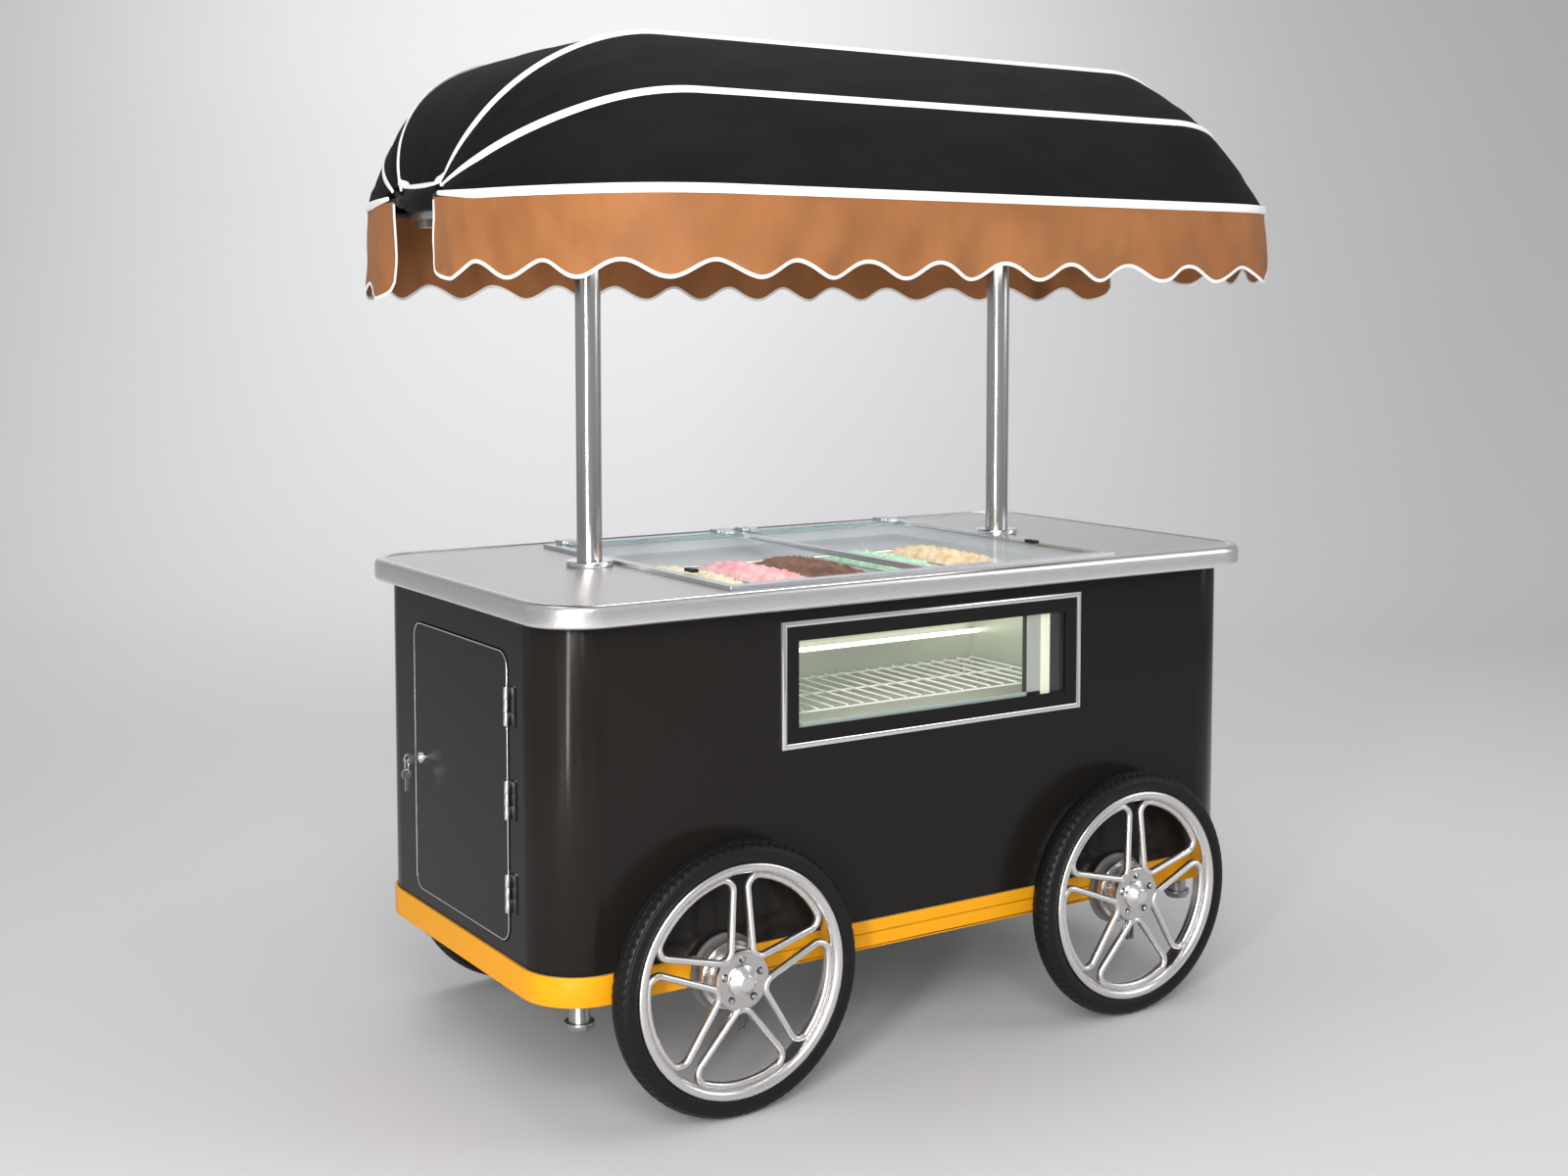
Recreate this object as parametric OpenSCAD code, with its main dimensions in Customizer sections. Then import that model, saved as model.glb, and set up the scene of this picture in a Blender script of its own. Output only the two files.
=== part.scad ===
// Ice cream push cart: a refrigerated cabinet on four big wheels, with a pan well,
// a lit display, a service door and a hooped canopy that folds up on both sides.
// X runs along the cart, the customer's side is -Y, and Z = 0 is the ground.

/* [Counter] */
// Length of the counter, end to end
counter_l = 1740; // [1680:10:1800]
// Depth of the counter, front to back
counter_d = 916; // [890:2:950]
// Height of the counter's rim above the ground
counter_h = 982; // [960:2:1010]
// Height of the counter's folded edge
counter_edge = 44; // [34:1:54]
// Corner radius of the counter, seen from above
counter_r = 115; // [95:1:135]
// Thickness of the counter's sheet
counter_sheet = 3; // [2:0.5:4]
// Width of the raised rim round the counter
rim_w = 22; // [16:1:26]
// Height of the rim above the counter's face
rim_step = 3; // [2:0.5:5]

/* [Cabinet] */
// How far the counter overhangs the cabinet at each end
overhang_end = 23; // [16:1:32]
// How far the counter overhangs the front and the back
overhang_side = 53; // [44:1:62]
// Corner radius of the cabinet, seen from above
cabinet_r = 110; // [95:1:125]
// Thickness of the cabinet's wall
wall = 10; // [8:0.5:12]
// Thickness of the floor panel
floor_t = 10; // [8:0.5:14]
// Height of the base band
band_h = 56; // [48:1:64]
// How far the base band stands out from the cabinet
band_t = 6; // [4:0.5:8]
// How far the band's lower edge lies below the axles
band_drop = 18; // [15:1:24]

/* [Wheels] */
// Radius of the wheels over the tyres
wheel_r = 260; // [245:1:275]
// Width of a tyre
tyre_w = 54; // [48:1:60]
// Height of a tyre's section
tyre_h = 38; // [32:1:44]
// Edge radius of a tyre's section
tyre_round = 14; // [10:1:15]
// Distance between the two axles
wheelbase = 984; // [940:2:1020]
// Gap between the base band and the tyres
tyre_gap = 21; // [18:1:26]
// Radius of the axles
axle_r = 12.5; // [10:0.5:14]
// Thickness of the rim's barrel
rim_t = 14; // [10:1:18]
// Thickness of the spoked disc
spoke_t = 16; // [12:1:20]
// Radius of the wheel hub
hub_r = 48; // [42:1:54]
// Radius of the brake drum on the wheel's inner side
drum_r = 65; // [60:1:70]
// Radius of the fixed brake plate
brake_r = 75; // [70:1:80]
// Number of petals in the wheel
petal_count = 5; // [4:1:6]

/* [Chassis] */
// Width of the chassis rails
rail_w = 40; // [34:1:46]
// Height of the chassis rails
rail_h = 48; // [44:1:52]
// Wall of the chassis rails
rail_wall = 3; // [2:0.5:4]
// Distance from the cabinet's side to the middle of a rail
rail_inset = 75; // [70:1:85]
// Distance from the middle to the outer cross members
cross_x = 600; // [570:5:630]
// Radius of the stabiliser legs
leg_r = 20; // [17:1:22]
// Radius of a leg's foot
foot_r = 28; // [25:1:30]
// Height of a leg's foot
foot_h = 16; // [12:1:20]
// Distance from the cabinet's end to a leg
leg_inset = 92; // [85:1:100]
// Height of the raised feet above the ground
foot_lift = 177; // [165:1:185]
// How far the legs come down
leg_travel = 175; // [150:1:176]

/* [Door] */
// Width of the service door
door_w = 439; // [420:1:450]
// Distance from the door's upper edge to the counter's edge
door_head = 65; // [55:1:80]
// Corner radius of the service door
door_r = 30; // [20:1:40]
// Height of the door's lower edge above the base band
door_sill = 28; // [22:1:40]
// Shift of the door's middle from the cabinet's middle
door_shift = -12; // [-20:1:0]
// Gap round the door
door_gap = 2; // [1:0.5:3]
// How far the door stands out from the cabinet
door_proud = 2; // [1:0.5:3]
// Height of a door hinge
hinge_h = 72; // [60:1:80]
// Radius of a hinge knuckle
knuckle_r = 5; // [4:0.5:6]
// Radius of a hinge pin
hinge_pin_r = 2.5; // [2:0.25:3]
// Width of a hinge leaf
leaf_w = 26; // [22:1:32]
// Thickness of a hinge leaf
leaf_t = 2; // [1.5:0.25:2.5]
// Radius of the lock's barrel
lock_r = 11; // [9:0.5:13]
// Radius of the lock's plug
plug_r = 6; // [5:0.5:7]
// Distance from the door's free edge to the lock
lock_inset = 36; // [30:1:44]
// Length of the lock's cam
cam_l = 44; // [40:1:48]

/* [Display] */
// Length of the display window over its frame
window_l = 750; // [700:5:780]
// Height of the display window over its frame
window_h = 248; // [230:1:256]
// Shift of the window from the cabinet's middle
window_shift = 13; // [0:1:30]
// Distance from the counter's edge down to the window
window_drop = 28; // [24:1:36]
// Width of the bright window frame
frame_w = 12; // [9:1:15]
// How far the window frame stands out
frame_t = 8; // [6:0.5:10]
// Width of the dark bezel inside the frame
bezel_w = 28; // [22:1:34]
// Thickness of the dark bezel
bezel_t = 5; // [4:0.5:6]
// Thickness of the window glass
glass_t = 6; // [4:0.5:8]
// How far the bezel laps over the glass
glass_lap = 10; // [8:1:14]
// Depth of the display cavity
display_depth = 320; // [280:5:340]
// Thickness of the display liner
liner_t = 4; // [3:0.5:5]
// Height of the wire shelf above the liner's floor
shelf_rise = 30; // [24:1:50]
// Radius of the shelf's wires
wire_r = 2; // [1.5:0.25:2.5]
// Distance between the shelf's cross wires
wire_pitch = 34; // [28:1:44]
// Radius of the light tube
led_r = 9; // [7:0.5:11]

/* [Pan well] */
// Length of the well frame along the cart
well_l = 956; // [920:2:960]
// How much deeper the counter is than the well frame
well_margin = 130; // [120:2:140]
// Shift of the well from the counter's middle
well_shift = -21; // [-30:1:-10]
// Width of the well frame
well_ring = 24; // [20:1:28]
// Height of the well frame above the counter's face
well_rise = 8; // [7:0.5:10]
// Width of the ledge that carries the lids
ledge_w = 8; // [6:0.5:10]
// Thickness of that ledge
ledge_t = 4; // [3:0.5:5]
// Width of the divider between the lids
divider_w = 18; // [14:1:24]
// Thickness of the tub's sheet
tub_t = 3; // [2:0.5:4]
// Depth of the pan deck below the counter's face
deck_drop = 26; // [22:1:30]
// Length of a pan over its rim
pan_l = 384; // [360:2:400]
// Depth of a pan
pan_depth = 52; // [44:1:56]
// Thickness of a pan's sheet
pan_t = 1.5; // [1:0.25:2]
// Width of a pan's rim
pan_rim = 5; // [4:0.5:7]
// Shift of the pans from the well's middle
pan_shift = -82; // [-95:1:-70]
// Gap between pans in the full bay
pan_gap = 6; // [4:0.5:8]
// Gap between pans in the open bay
pan_wide_gap = 22; // [16:1:28]
// Height of the ice cream above the pan deck
fill_rise = 24; // [18:1:27]

/* [Lids] */
// Thickness of the glass lids
lid_t = 5.5; // [4:0.5:6]
// Width of a lid hinge
lid_hinge_w = 24; // [20:1:28]
// Height of a lid hinge
lid_hinge_h = 8; // [7:0.5:10]
// Radius of a lid hinge's pin
lid_pin_r = 2; // [1.5:0.25:2.5]

/* [Canopy] */
// Radius of the posts
post_r = 26; // [22:0.5:28]
// Wall of the posts
post_t = 2; // [1.5:0.25:3]
// Gap between the well frame and the posts' flanges
post_gap = 6; // [4:1:20]
// Shift of the posts to the back
post_y = 48; // [30:1:60]
// Radius of a post's flange
flange_r = 48; // [42:1:50]
// Height of a post's flange
flange_h = 12; // [9:1:16]
// Height of the canopy's hubs above the ground
hub_z = 1707; // [1670:1:1740]
// Distance from the middle to each line of hubs
hub_y = 90; // [80:1:100]
// Distance from the middle to the lowest bows' lugs
bow_x = 913; // [900:1:930]
// Distance between lugs on a hub
lug_pitch = 8; // [7:0.5:10]
// Radius of the bows' tubes
bow_r = 6; // [5:0.25:6.5]
// Reach of the low bows from their hubs
low_reach = 522; // [500:1:540]
// Reach of the middle bows
mid_reach = 413; // [400:1:430]
// Reach of the top bows
top_reach = 352; // [340:1:365]
// Angle of the middle bows
mid_angle = 25.3; // [21:0.1:29]
// Angle of the top bows
top_angle = 57.2; // [53:0.1:61]
// Length of the bows' bent ends along the cart
bow_bend = 320; // [300:1:340]
// Thickness of the cloth
cloth_t = 2; // [1.5:0.25:2.5]
// Height of the front valance
front_drop = 150; // [130:1:170]
// Height of the back valance
back_drop = 184; // [160:1:200]
// Height of the scallops
scallop_h = 30; // [20:1:36]
// Number of scallops along a valance
scallop_count = 16; // [14:1:18]
// Depth of the valance's folds at the hem
fold_depth = 12; // [6:1:16]

/* [Handle] */
// Length of the push handle
handle_l = 380; // [340:5:420]
// Radius of the push handle
handle_r = 14; // [12:0.5:15]
// Distance from the cabinet to the handle
handle_reach = 57; // [50:1:60]
// Distance from the counter's edge down to the handle
handle_drop = 60; // [50:1:80]

/* [Hidden] */
$fn = 48;

// One overrun for all cuts, and the clearances
cut = 2;
run_fit = 0.05;
seat_fit = 0.3;
loose_fit = 1;

// Both signs, for what is mirrored
SIDES = [-1, 1];

// Colours
steel = "#b9bbbd";
bright = "#d4d6d8";
black = "#1d1b1a";
orange = "#efa31d";
rubber = "#141414";
cloth = "#202020";
tan = "#cb8c55";
glass = "#a9d3d6";

// Levels from the ground up
axle_z = wheel_r;
band_z0 = axle_z - band_drop;
floor_z1 = band_z0 + band_h;
floor_z0 = floor_z1 - floor_t;
edge_z = counter_h - counter_edge;
face_z = counter_h - rim_step;
cabinet_top = face_z - counter_sheet;
lip_gap = 2.5;
rail_z0 = floor_z0 - rail_h;

// Plan sizes
cabinet_l = counter_l - 2 * overhang_end;
cabinet_d = counter_d - 2 * overhang_side;
half_l = cabinet_l / 2;
half_d = cabinet_d / 2;
band_face = half_d + band_t;

// Wheels
wheel_x = wheelbase / 2;
tyre_in = band_face + tyre_gap;
rim_r = wheel_r - tyre_h;
tyre_seat = 0.1;
rim_edge = 3;
hub_back = 9;
hub_front = 47;
disc_z0 = 26;
axle_reach = 40;
drum_t = 8;
cap_r = 30;
cap_tip_r = 14;
cap_h = 18;
stud_r = 6;
stud_h = 4;
stud_ring = 39;
petal_corner = 15;
petal_hub_web = 29;
petal_rim_web = 18;
petal_in = hub_r + petal_hub_web;
petal_out = rim_r - rim_t - petal_corner - petal_rim_web;
petal_half_angle = 23.5;
petal_arc_steps = 4;
corner_steps = 6;
petal_phase = -18;
slot_r = 3;
slot_in_half = 12;
slot_out_half = 4.5;
slot_hub_web = 26;
slot_rim_web = 18;
slot_in = hub_r + slot_hub_web;
slot_out = rim_r - rim_t - slot_rim_web;
brake_t = 8;
arm_x = 40;
arm_w = 18;
arm_l = 120;
arm_eye_r = 4;

// Chassis and legs
rail_y = half_d - rail_inset;
leg_x = half_l - leg_inset;
leg_block = 3 * leg_r;
leg_collar_r = foot_r;
leg_collar_h = 10;
leg_top = floor_z1 + leg_travel + leg_collar_h + loose_fit;

// Door on the left end
door_h = edge_z - door_head - door_sill - floor_z1;
door_z = floor_z1 + door_sill + door_h / 2;
door_face = -half_l - door_proud;
hinge_x = door_face - knuckle_r;
hinge_y = door_shift - door_w / 2 - door_gap - knuckle_r;
hinge_level_shares = [-0.32, 0, 0.32];
knuckle_h = hinge_h / 3;
lock_y = door_shift + door_w / 2 - lock_inset;
lock_out = 6;
lock_in = 8;
plug_out = 1;
cam_t = 3;
cam_w = 12;
key_stem = 12;
key_stem_h = 7;
key_bow_r = 11;
key_t = 2.4;
key_hole_r = 4;
key_hole_inset = 6;
ring_r = 10;
ring_wire = 0.9;
ring_play = 0.8;
ring_hang = key_hole_r - ring_wire - ring_play;
spare_hang = key_hole_r - ring_wire - seat_fit;
spare_stem_l = 24;
key_x1 = door_face - lock_out - plug_out;
key_grip_x = key_x1 - key_stem - key_bow_r + plug_out;
ring_x = key_grip_x - key_bow_r + key_hole_inset;

// Window and display
window_z1 = edge_z - window_drop;
window_z0 = window_z1 - window_h;
window_x0 = window_shift - window_l / 2;
window_x1 = window_shift + window_l / 2;
sight_inset = frame_w + bezel_w;
pane_inset = sight_inset - glass_lap;
liner_inset = pane_inset - liner_t;
liner_y0 = -half_d + wall;
liner_y1 = liner_y0 + display_depth;
wire_side_gap = 6;
led_inset = 92;
led_back = 30;

// Condensing unit behind the door
unit_end_gap = 150;
unit_x0 = -half_l + unit_end_gap;
unit_l = 330;
unit_d = 320;
unit_plate_t = 4;
compressor_r = 78;
compressor_h = 130;
compressor_inset = 95;
condenser_t = 50;
condenser_h = 250;
condenser_w = 290;
shroud_r = 105;
shroud_t = 6;
fan_r = 95;
fan_t = 18;
fan_hub_r = 24;
fan_gap = 8;
fan_blades = 5;
fan_blade_w = 40;
fan_pitch = 30;
motor_r = 30;
motor_l = 46;
strut_w = 12;
shaft_r = 4;
fan_z = floor_z1 + unit_plate_t + condenser_h / 2;
condenser_x0 = unit_x0 + unit_l - condenser_t;
fan_x1 = condenser_x0 - fan_gap;
fan_x0 = fan_x1 - fan_t;
motor_x1 = fan_x0 - fan_gap;

// Pan well
well_d = counter_d - well_margin;
well_x = well_l / 2;
well_y0 = well_shift - well_d / 2;
well_y1 = well_shift + well_d / 2;
mouth_x = well_x - well_ring;
mouth_y0 = well_y0 + well_ring;
mouth_y1 = well_y1 - well_ring;
well_top = face_z + well_rise;
ledge_top = well_top - lid_t - seat_fit;
tub_lap = well_ring - tub_t - loose_fit;
tub_x = well_x - tub_lap;
tub_y0 = well_y0 + tub_lap;
tub_y1 = well_y1 - tub_lap;
deck_z = face_z - deck_drop;
tub_bottom_gap = 14;
tub_z0 = deck_z - pan_depth - tub_bottom_gap - tub_t;
pan_y = well_shift + pan_shift;
pan_side_gap = 3;
pan_end_gap = 4;
full_bay_count = 3;
bay_l = mouth_x - divider_w / 2 - pan_side_gap - pan_end_gap;
pan_w = (bay_l - (full_bay_count - 1) * pan_gap) / full_bay_count;
pan_pitch = pan_w + pan_gap;
pan_wide_pitch = pan_w + pan_wide_gap;
pan_body_w = pan_w - 2 * pan_rim;
pan_body_l = pan_l - 2 * pan_rim;
pan_corner = 12;
pan_open_gap = 16;
pan_first = divider_w / 2 + pan_w / 2 + pan_side_gap;
pan_open_first = pan_first + pan_open_gap;
pan_xs = [
    -pan_first - 2 * pan_pitch, -pan_first - pan_pitch, -pan_first,
    pan_open_first, pan_open_first + pan_wide_pitch
];
fill_w = pan_body_w - 2 * pan_t - 2 * loose_fit;
fill_l = pan_body_l - 2 * pan_t - 2 * loose_fit;
fill_corner = pan_corner - pan_t - loose_fit;
fill_crown_r = (pow(fill_w / 2, 2) + pow(fill_rise, 2)) / (2 * fill_rise);

// Handle and legs
handle_arm_share = 0.7;
foot_tip_share = 0.8;

// Lids
lid_gap = 1;
lid_x0 = divider_w / 2 + lid_gap;
lid_x1 = mouth_x - lid_gap;
lid_y0 = mouth_y0 + lid_gap;
lid_setback = 18;
lid_y1 = mouth_y1 - lid_setback;
lid_axis_inset = 8;
lid_axis_y = mouth_y1 - lid_axis_inset;
lid_axis_z = well_top + lid_hinge_h / 2;
lid_hinge_xs = [lid_x0 + lid_hinge_w, lid_x1 - lid_hinge_w];
lid_block_front = 26;
lid_block_back = 5;
ear_w = 8;
ear_gap = 0.3;
ear_front = 5;
ear_base_inset = 2;
pull_l = 34;
pull_w = 14;
pull_h = 7;
pull_inset = 12;
pull_y_share = 0.27;
pull_y = lid_y0 + pull_y_share * (lid_y1 - lid_y0);

// Canopy
post_x = well_x + flange_r + post_gap;
beam_w = 40;
beam_h = 30;
beam_below_hub = 20;
beam_z1 = hub_z - beam_below_hub;
beam_z0 = beam_z1 - beam_h;
cross_h = 14;
cross_z0 = beam_z1 - cross_h;
lug_t = 4;
lug_r = 12;
hub_pin_r = 5;
eye_pitch = 10;
mid_x = bow_x - lug_pitch;
top_x = mid_x - lug_pitch;
eye_x = top_x - eye_pitch;
eye_t = 8;
eye_r = 13;
pin_over = 6;
stub_cap_t = 1.5;
stub_cap_r = 10;
stub_lap = 0.5;
pin_head_r = 8;
pin_head_t = 4;
cross_r = 7;
sleeve_r = 30;
sleeve_end_gap = 16;
sleeve_half = hub_y - sleeve_end_gap;
butt_gap = 0.1;
flat_end_lap = 8;
flat_end_swell = 1.5;
flat_end_t = 3;
sheet_gap = 3.5;
sheet_out = bow_r + sheet_gap;
seam_share = 0.001;
panel_bulge = 5;
bow_start = 5;
valance_start = 0.5;
panel_cols = 18;
panel_rows = 2;
valance_fit = 0.2;
valance_rows = 3;
cols_per_scallop = 8;

// Each bow's tight bend as a share of its reach, and its bend's length as a share of the low bow's
low_tight_share = 0.43;
mid_tight_share = 0.63;
top_tight_share = 0.745;
mid_bend_share = 1.025;
top_bend_share = 1.053;

// Each bow: reach, angle, place of its lugs, length of its bend, radius of its tight bend
low_bow = [low_reach, 0, bow_x, bow_bend, low_tight_share * low_reach];
mid_bow = [mid_reach, mid_angle, mid_x, mid_bend_share * bow_bend, mid_tight_share * mid_reach];
top_bow = [top_reach, top_angle, top_x, top_bend_share * bow_bend, top_tight_share * top_reach];

// The curve of a bow in its own plane: a straight run, then a tight and a wide arc down to the hub
function run_half(b) = b[2] - b[3];
function tight_r(b) = b[4];
function wide_r(b) =
    (b[3] * b[3] + b[0] * b[0] - 2 * b[0] * tight_r(b)) / (2 * (b[3] - tight_r(b)));
function turn(b) = atan2(b[0] - tight_r(b), wide_r(b) - b[3]);
function bow_flat(b, th) =
    th < turn(b)
        ? [b[2] - wide_r(b) + wide_r(b) * cos(th), wide_r(b) * sin(th)]
        : [run_half(b) + tight_r(b) * cos(th), b[0] - tight_r(b) + tight_r(b) * sin(th)];

// A station is a side of the cart and the angle at which the bow faces there
function station(i) =
    i <= panel_cols
        ? [-1, bow_start + (90 - bow_start) * i / panel_cols]
        : [1, bow_start + (90 - bow_start) * (2 * panel_cols + 1 - i) / panel_cols];
function bow_point(b, st) =
    let (p = bow_flat(b, st[1]))
    [st[0] * p.x, -(hub_y + p.y * cos(b[1])), hub_z + p.y * sin(b[1])];
function bow_normal(b, st) =
    [st[0] * cos(st[1]), -sin(st[1]) * cos(b[1]), sin(st[1]) * sin(b[1])];
function unit(v) = v / norm(v);
function flip_y(p, on) = on ? [p.x, -p.y, p.z] : p;

// A point of the cloth between bow a and bow b, or bow b's mirror image, at share t and offset out
function panel_point(a, b, over, i, t, out) =
    let (
        st = station(i),
        pa = bow_point(a, st),
        pb = flip_y(bow_point(b, st), over),
        n = unit((1 - t) * bow_normal(a, st) + t * flip_y(bow_normal(b, st), over))
    )
    (1 - t) * pa + t * pb + n * (out + panel_bulge * 4 * t * (1 - t));
function panel_grid(a, b, over, out) = [
    for (i = [0:2 * panel_cols + 1]) [
        for (j = [0:panel_rows])
            panel_point(a, b, over, i, seam_share + (1 - 2 * seam_share) * j / panel_rows, out)
    ]
];

// The valance follows the low bow by length, so that its scallops are even
function arc_len(r, deg) = r * deg * PI / 180;
function wide_len(b) = arc_len(wide_r(b), turn(b) - valance_start);
function tight_len(b) = arc_len(tight_r(b), 90 - turn(b));
function half_len(b) = wide_len(b) + tight_len(b) + run_half(b);
function facing(b, s) =
    s < wide_len(b)
        ? valance_start + s / wide_r(b) * 180 / PI
        : min(90, turn(b) + (s - wide_len(b)) / tight_r(b) * 180 / PI);
function past_bend(b, s) = max(0, s - wide_len(b) - tight_len(b));
function hem_wave(s, pitch) = (1 - cos(360 * s / pitch)) / 2;
function valance_point(b, s_all, j, drop, out) =
    let (
        pitch = 2 * half_len(b) / scallop_count,
        side = s_all < half_len(b) ? -1 : 1,
        s = side < 0 ? s_all : 2 * half_len(b) - s_all,
        th = facing(b, s),
        p = bow_flat(b, th),
        share = 1 - j / valance_rows,
        fold = fold_depth * share * hem_wave(s_all + pitch / 4, pitch * 2),
        reach = out + fold,
        x = p.x - past_bend(b, s) + reach * cos(th),
        y = hub_y + p.y + reach * sin(th),
        hem = drop - scallop_h * hem_wave(s_all + pitch / 2, pitch)
    )
    [side * x, -y, hub_z - valance_fit - hem * share];
function valance_grid(b, drop, out) = [
    for (i = [0:scallop_count * cols_per_scallop]) [
        for (j = [0:valance_rows])
            valance_point(b, 2 * half_len(b) * i / (scallop_count * cols_per_scallop), j, drop, out)
    ]
];

// The outline of a polygon grown by a radius, its points given anticlockwise
function edge_facing(p, q) = atan2(q.y - p.y, q.x - p.x) - 90;
function turn_between(a, b) = b < a ? b + 360 - a : b - a;
function grown_corner(before, p, after, r) =
    let (
        from = edge_facing(before, p),
        span = turn_between(from, edge_facing(p, after))
    )
    [
        for (k = [0:corner_steps])
            p + r * [cos(from + span * k / corner_steps), sin(from + span * k / corner_steps)]
    ];
function grown_outline(points, r) =
    let (n = len(points))
    [
        for (i = [0:n - 1])
            each grown_corner(points[(i + n - 1) % n], points[i], points[(i + 1) % n], r)
    ];

// A rectangle with round corners, drawn flat
module rounded_plan(l, d, r) {
    square([l - 2 * r, d], center = true);
    square([l, d - 2 * r], center = true);
    for (sx = SIDES, sy = SIDES)
        translate([sx * (l / 2 - r), sy * (d / 2 - r)])
            circle(r);
}

// A slab with round corners between two levels
module slab(l, d, r, z0, z1) {
    translate([0, 0, z0])
        linear_extrude(z1 - z0)
            rounded_plan(l, d, r);
}

// A box from its lowest to its highest corner
module block(lo, hi) {
    translate(lo)
        cube(hi - lo);
}

// A plate across the cart's end, between two places along X
module end_plate(w, h, r, x0, x1) {
    translate([x0, door_shift, door_z])
        rotate([90, 0, 90])
            linear_extrude(x1 - x0)
                rounded_plan(w, h, r);
}

// A round bar along X, from x0 to x1
module bar_x(r, x0, x1) {
    translate([x0, 0, 0])
        rotate([0, 90, 0])
            cylinder(r = r, h = x1 - x0);
}

// A round bar along Y, from y0 to y1
module bar_y(r, y0, y1) {
    translate([0, y0, 0])
        rotate([-90, 0, 0])
            cylinder(r = r, h = y1 - y0);
}

// A thin closed sheet from two grids of points, outer and inner
module sheet(outer, inner) {
    nc = len(outer);
    nr = len(outer[0]);
    flat = concat([for (c = outer) each c], [for (c = inner) each c]);
    function at(i, j, k) = k * nc * nr + i * nr + j;
    skin = [
        for (i = [0:nc - 2], j = [0:nr - 2]) each [
            [at(i, j, 0), at(i + 1, j + 1, 0), at(i + 1, j, 0)],
            [at(i, j, 0), at(i, j + 1, 0), at(i + 1, j + 1, 0)],
            [at(i, j, 1), at(i + 1, j, 1), at(i + 1, j + 1, 1)],
            [at(i, j, 1), at(i + 1, j + 1, 1), at(i, j + 1, 1)]
        ]
    ];
    long_edges = [
        for (i = [0:nc - 2]) each [
            [at(i, 0, 0), at(i + 1, 0, 0), at(i + 1, 0, 1)],
            [at(i, 0, 0), at(i + 1, 0, 1), at(i, 0, 1)],
            [at(i, nr - 1, 0), at(i + 1, nr - 1, 1), at(i + 1, nr - 1, 0)],
            [at(i, nr - 1, 0), at(i, nr - 1, 1), at(i + 1, nr - 1, 1)]
        ]
    ];
    short_edges = [
        for (j = [0:nr - 2]) each [
            [at(0, j, 0), at(0, j + 1, 1), at(0, j + 1, 0)],
            [at(0, j, 0), at(0, j, 1), at(0, j + 1, 1)],
            [at(nc - 1, j, 0), at(nc - 1, j + 1, 0), at(nc - 1, j + 1, 1)],
            [at(nc - 1, j, 0), at(nc - 1, j + 1, 1), at(nc - 1, j, 1)]
        ]
    ];
    polyhedron(points = flat, faces = concat(skin, long_edges, short_edges));
}

// Places a wheel: local z points outwards, from the tyre's inner face
module at_wheel(sx, sy) {
    translate([sx * wheel_x, sy * tyre_in, axle_z])
        rotate([-sy * 90, 0, 0])
            children();
}

// A chassis rail: a box tube along X
module rail() {
    rail_half = leg_x;
    difference() {
        block([-rail_half, -rail_w / 2, rail_z0], [rail_half, rail_w / 2, floor_z0]);
        block(
            [-rail_half - cut, rail_wall - rail_w / 2, rail_z0 + rail_wall],
            [rail_half + cut, rail_w / 2 - rail_wall, floor_z0 - rail_wall]
        );
    }
}

module chassis_frame() {
    color(black)
        difference() {
            union() {
                for (sy = SIDES)
                    translate([0, sy * rail_y, 0])
                        rail();
                for (sx = [-1, 0, 1])
                    block(
                        [sx * cross_x - rail_w / 2, -rail_y + rail_w / 2, rail_z0],
                        [sx * cross_x + rail_w / 2, rail_y - rail_w / 2, floor_z0]
                    );
                for (sx = SIDES, sy = SIDES)
                    translate([sx * leg_x, sy * rail_y, rail_z0])
                        translate([-leg_block / 2, -leg_block / 2, 0])
                            cube([leg_block, leg_block, rail_h]);
            }
            for (sx = SIDES)
                translate([sx * wheel_x, 0, axle_z])
                    bar_y(axle_r + run_fit, -half_d, half_d);
            for (sx = SIDES, sy = SIDES)
                translate([sx * leg_x, sy * rail_y, rail_z0 - cut])
                    cylinder(r = leg_r + run_fit, h = rail_h + 2 * cut);
        }
}

module axles() {
    reach = tyre_in + axle_reach;
    color(steel)
        for (sx = SIDES)
            translate([sx * wheel_x, 0, axle_z])
                bar_y(axle_r, -reach, reach);
}

module brake_plates() {
    color("dimgray")
        for (sx = SIDES, sy = SIDES)
            at_wheel(sx, sy)
                translate([0, 0, -tyre_gap])
                    difference() {
                        union() {
                            cylinder(r = brake_r, h = brake_t);
                            translate([arm_x - arm_w / 2, sy > 0 ? 0 : -arm_l, 0])
                                cube([arm_w, arm_l, brake_t]);
                        }
                        translate([0, 0, -cut])
                            cylinder(r = axle_r + run_fit, h = brake_t + 2 * cut);
                        translate([arm_x, sy * (arm_l - arm_w / 2), -cut])
                            cylinder(r = arm_eye_r, h = brake_t + 2 * cut);
                    }
}

module base_band() {
    color(orange)
        difference() {
            slab(cabinet_l + 2 * band_t, cabinet_d + 2 * band_t, cabinet_r + band_t, band_z0, floor_z1);
            slab(
                cabinet_l + 2 * seat_fit, cabinet_d + 2 * seat_fit, cabinet_r + seat_fit,
                band_z0 - cut, floor_z1 + cut
            );
            for (sx = SIDES)
                translate([sx * wheel_x, 0, axle_z])
                    bar_y(axle_r + loose_fit, -band_face - cut, band_face + cut);
        }
}

module floor_panel() {
    color(steel)
        difference() {
            slab(cabinet_l, cabinet_d, cabinet_r, floor_z0, floor_z1);
            for (sx = SIDES, sy = SIDES)
                translate([sx * leg_x, sy * rail_y, floor_z0 - cut])
                    cylinder(r = leg_r + loose_fit, h = floor_t + 2 * cut);
        }
}

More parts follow.
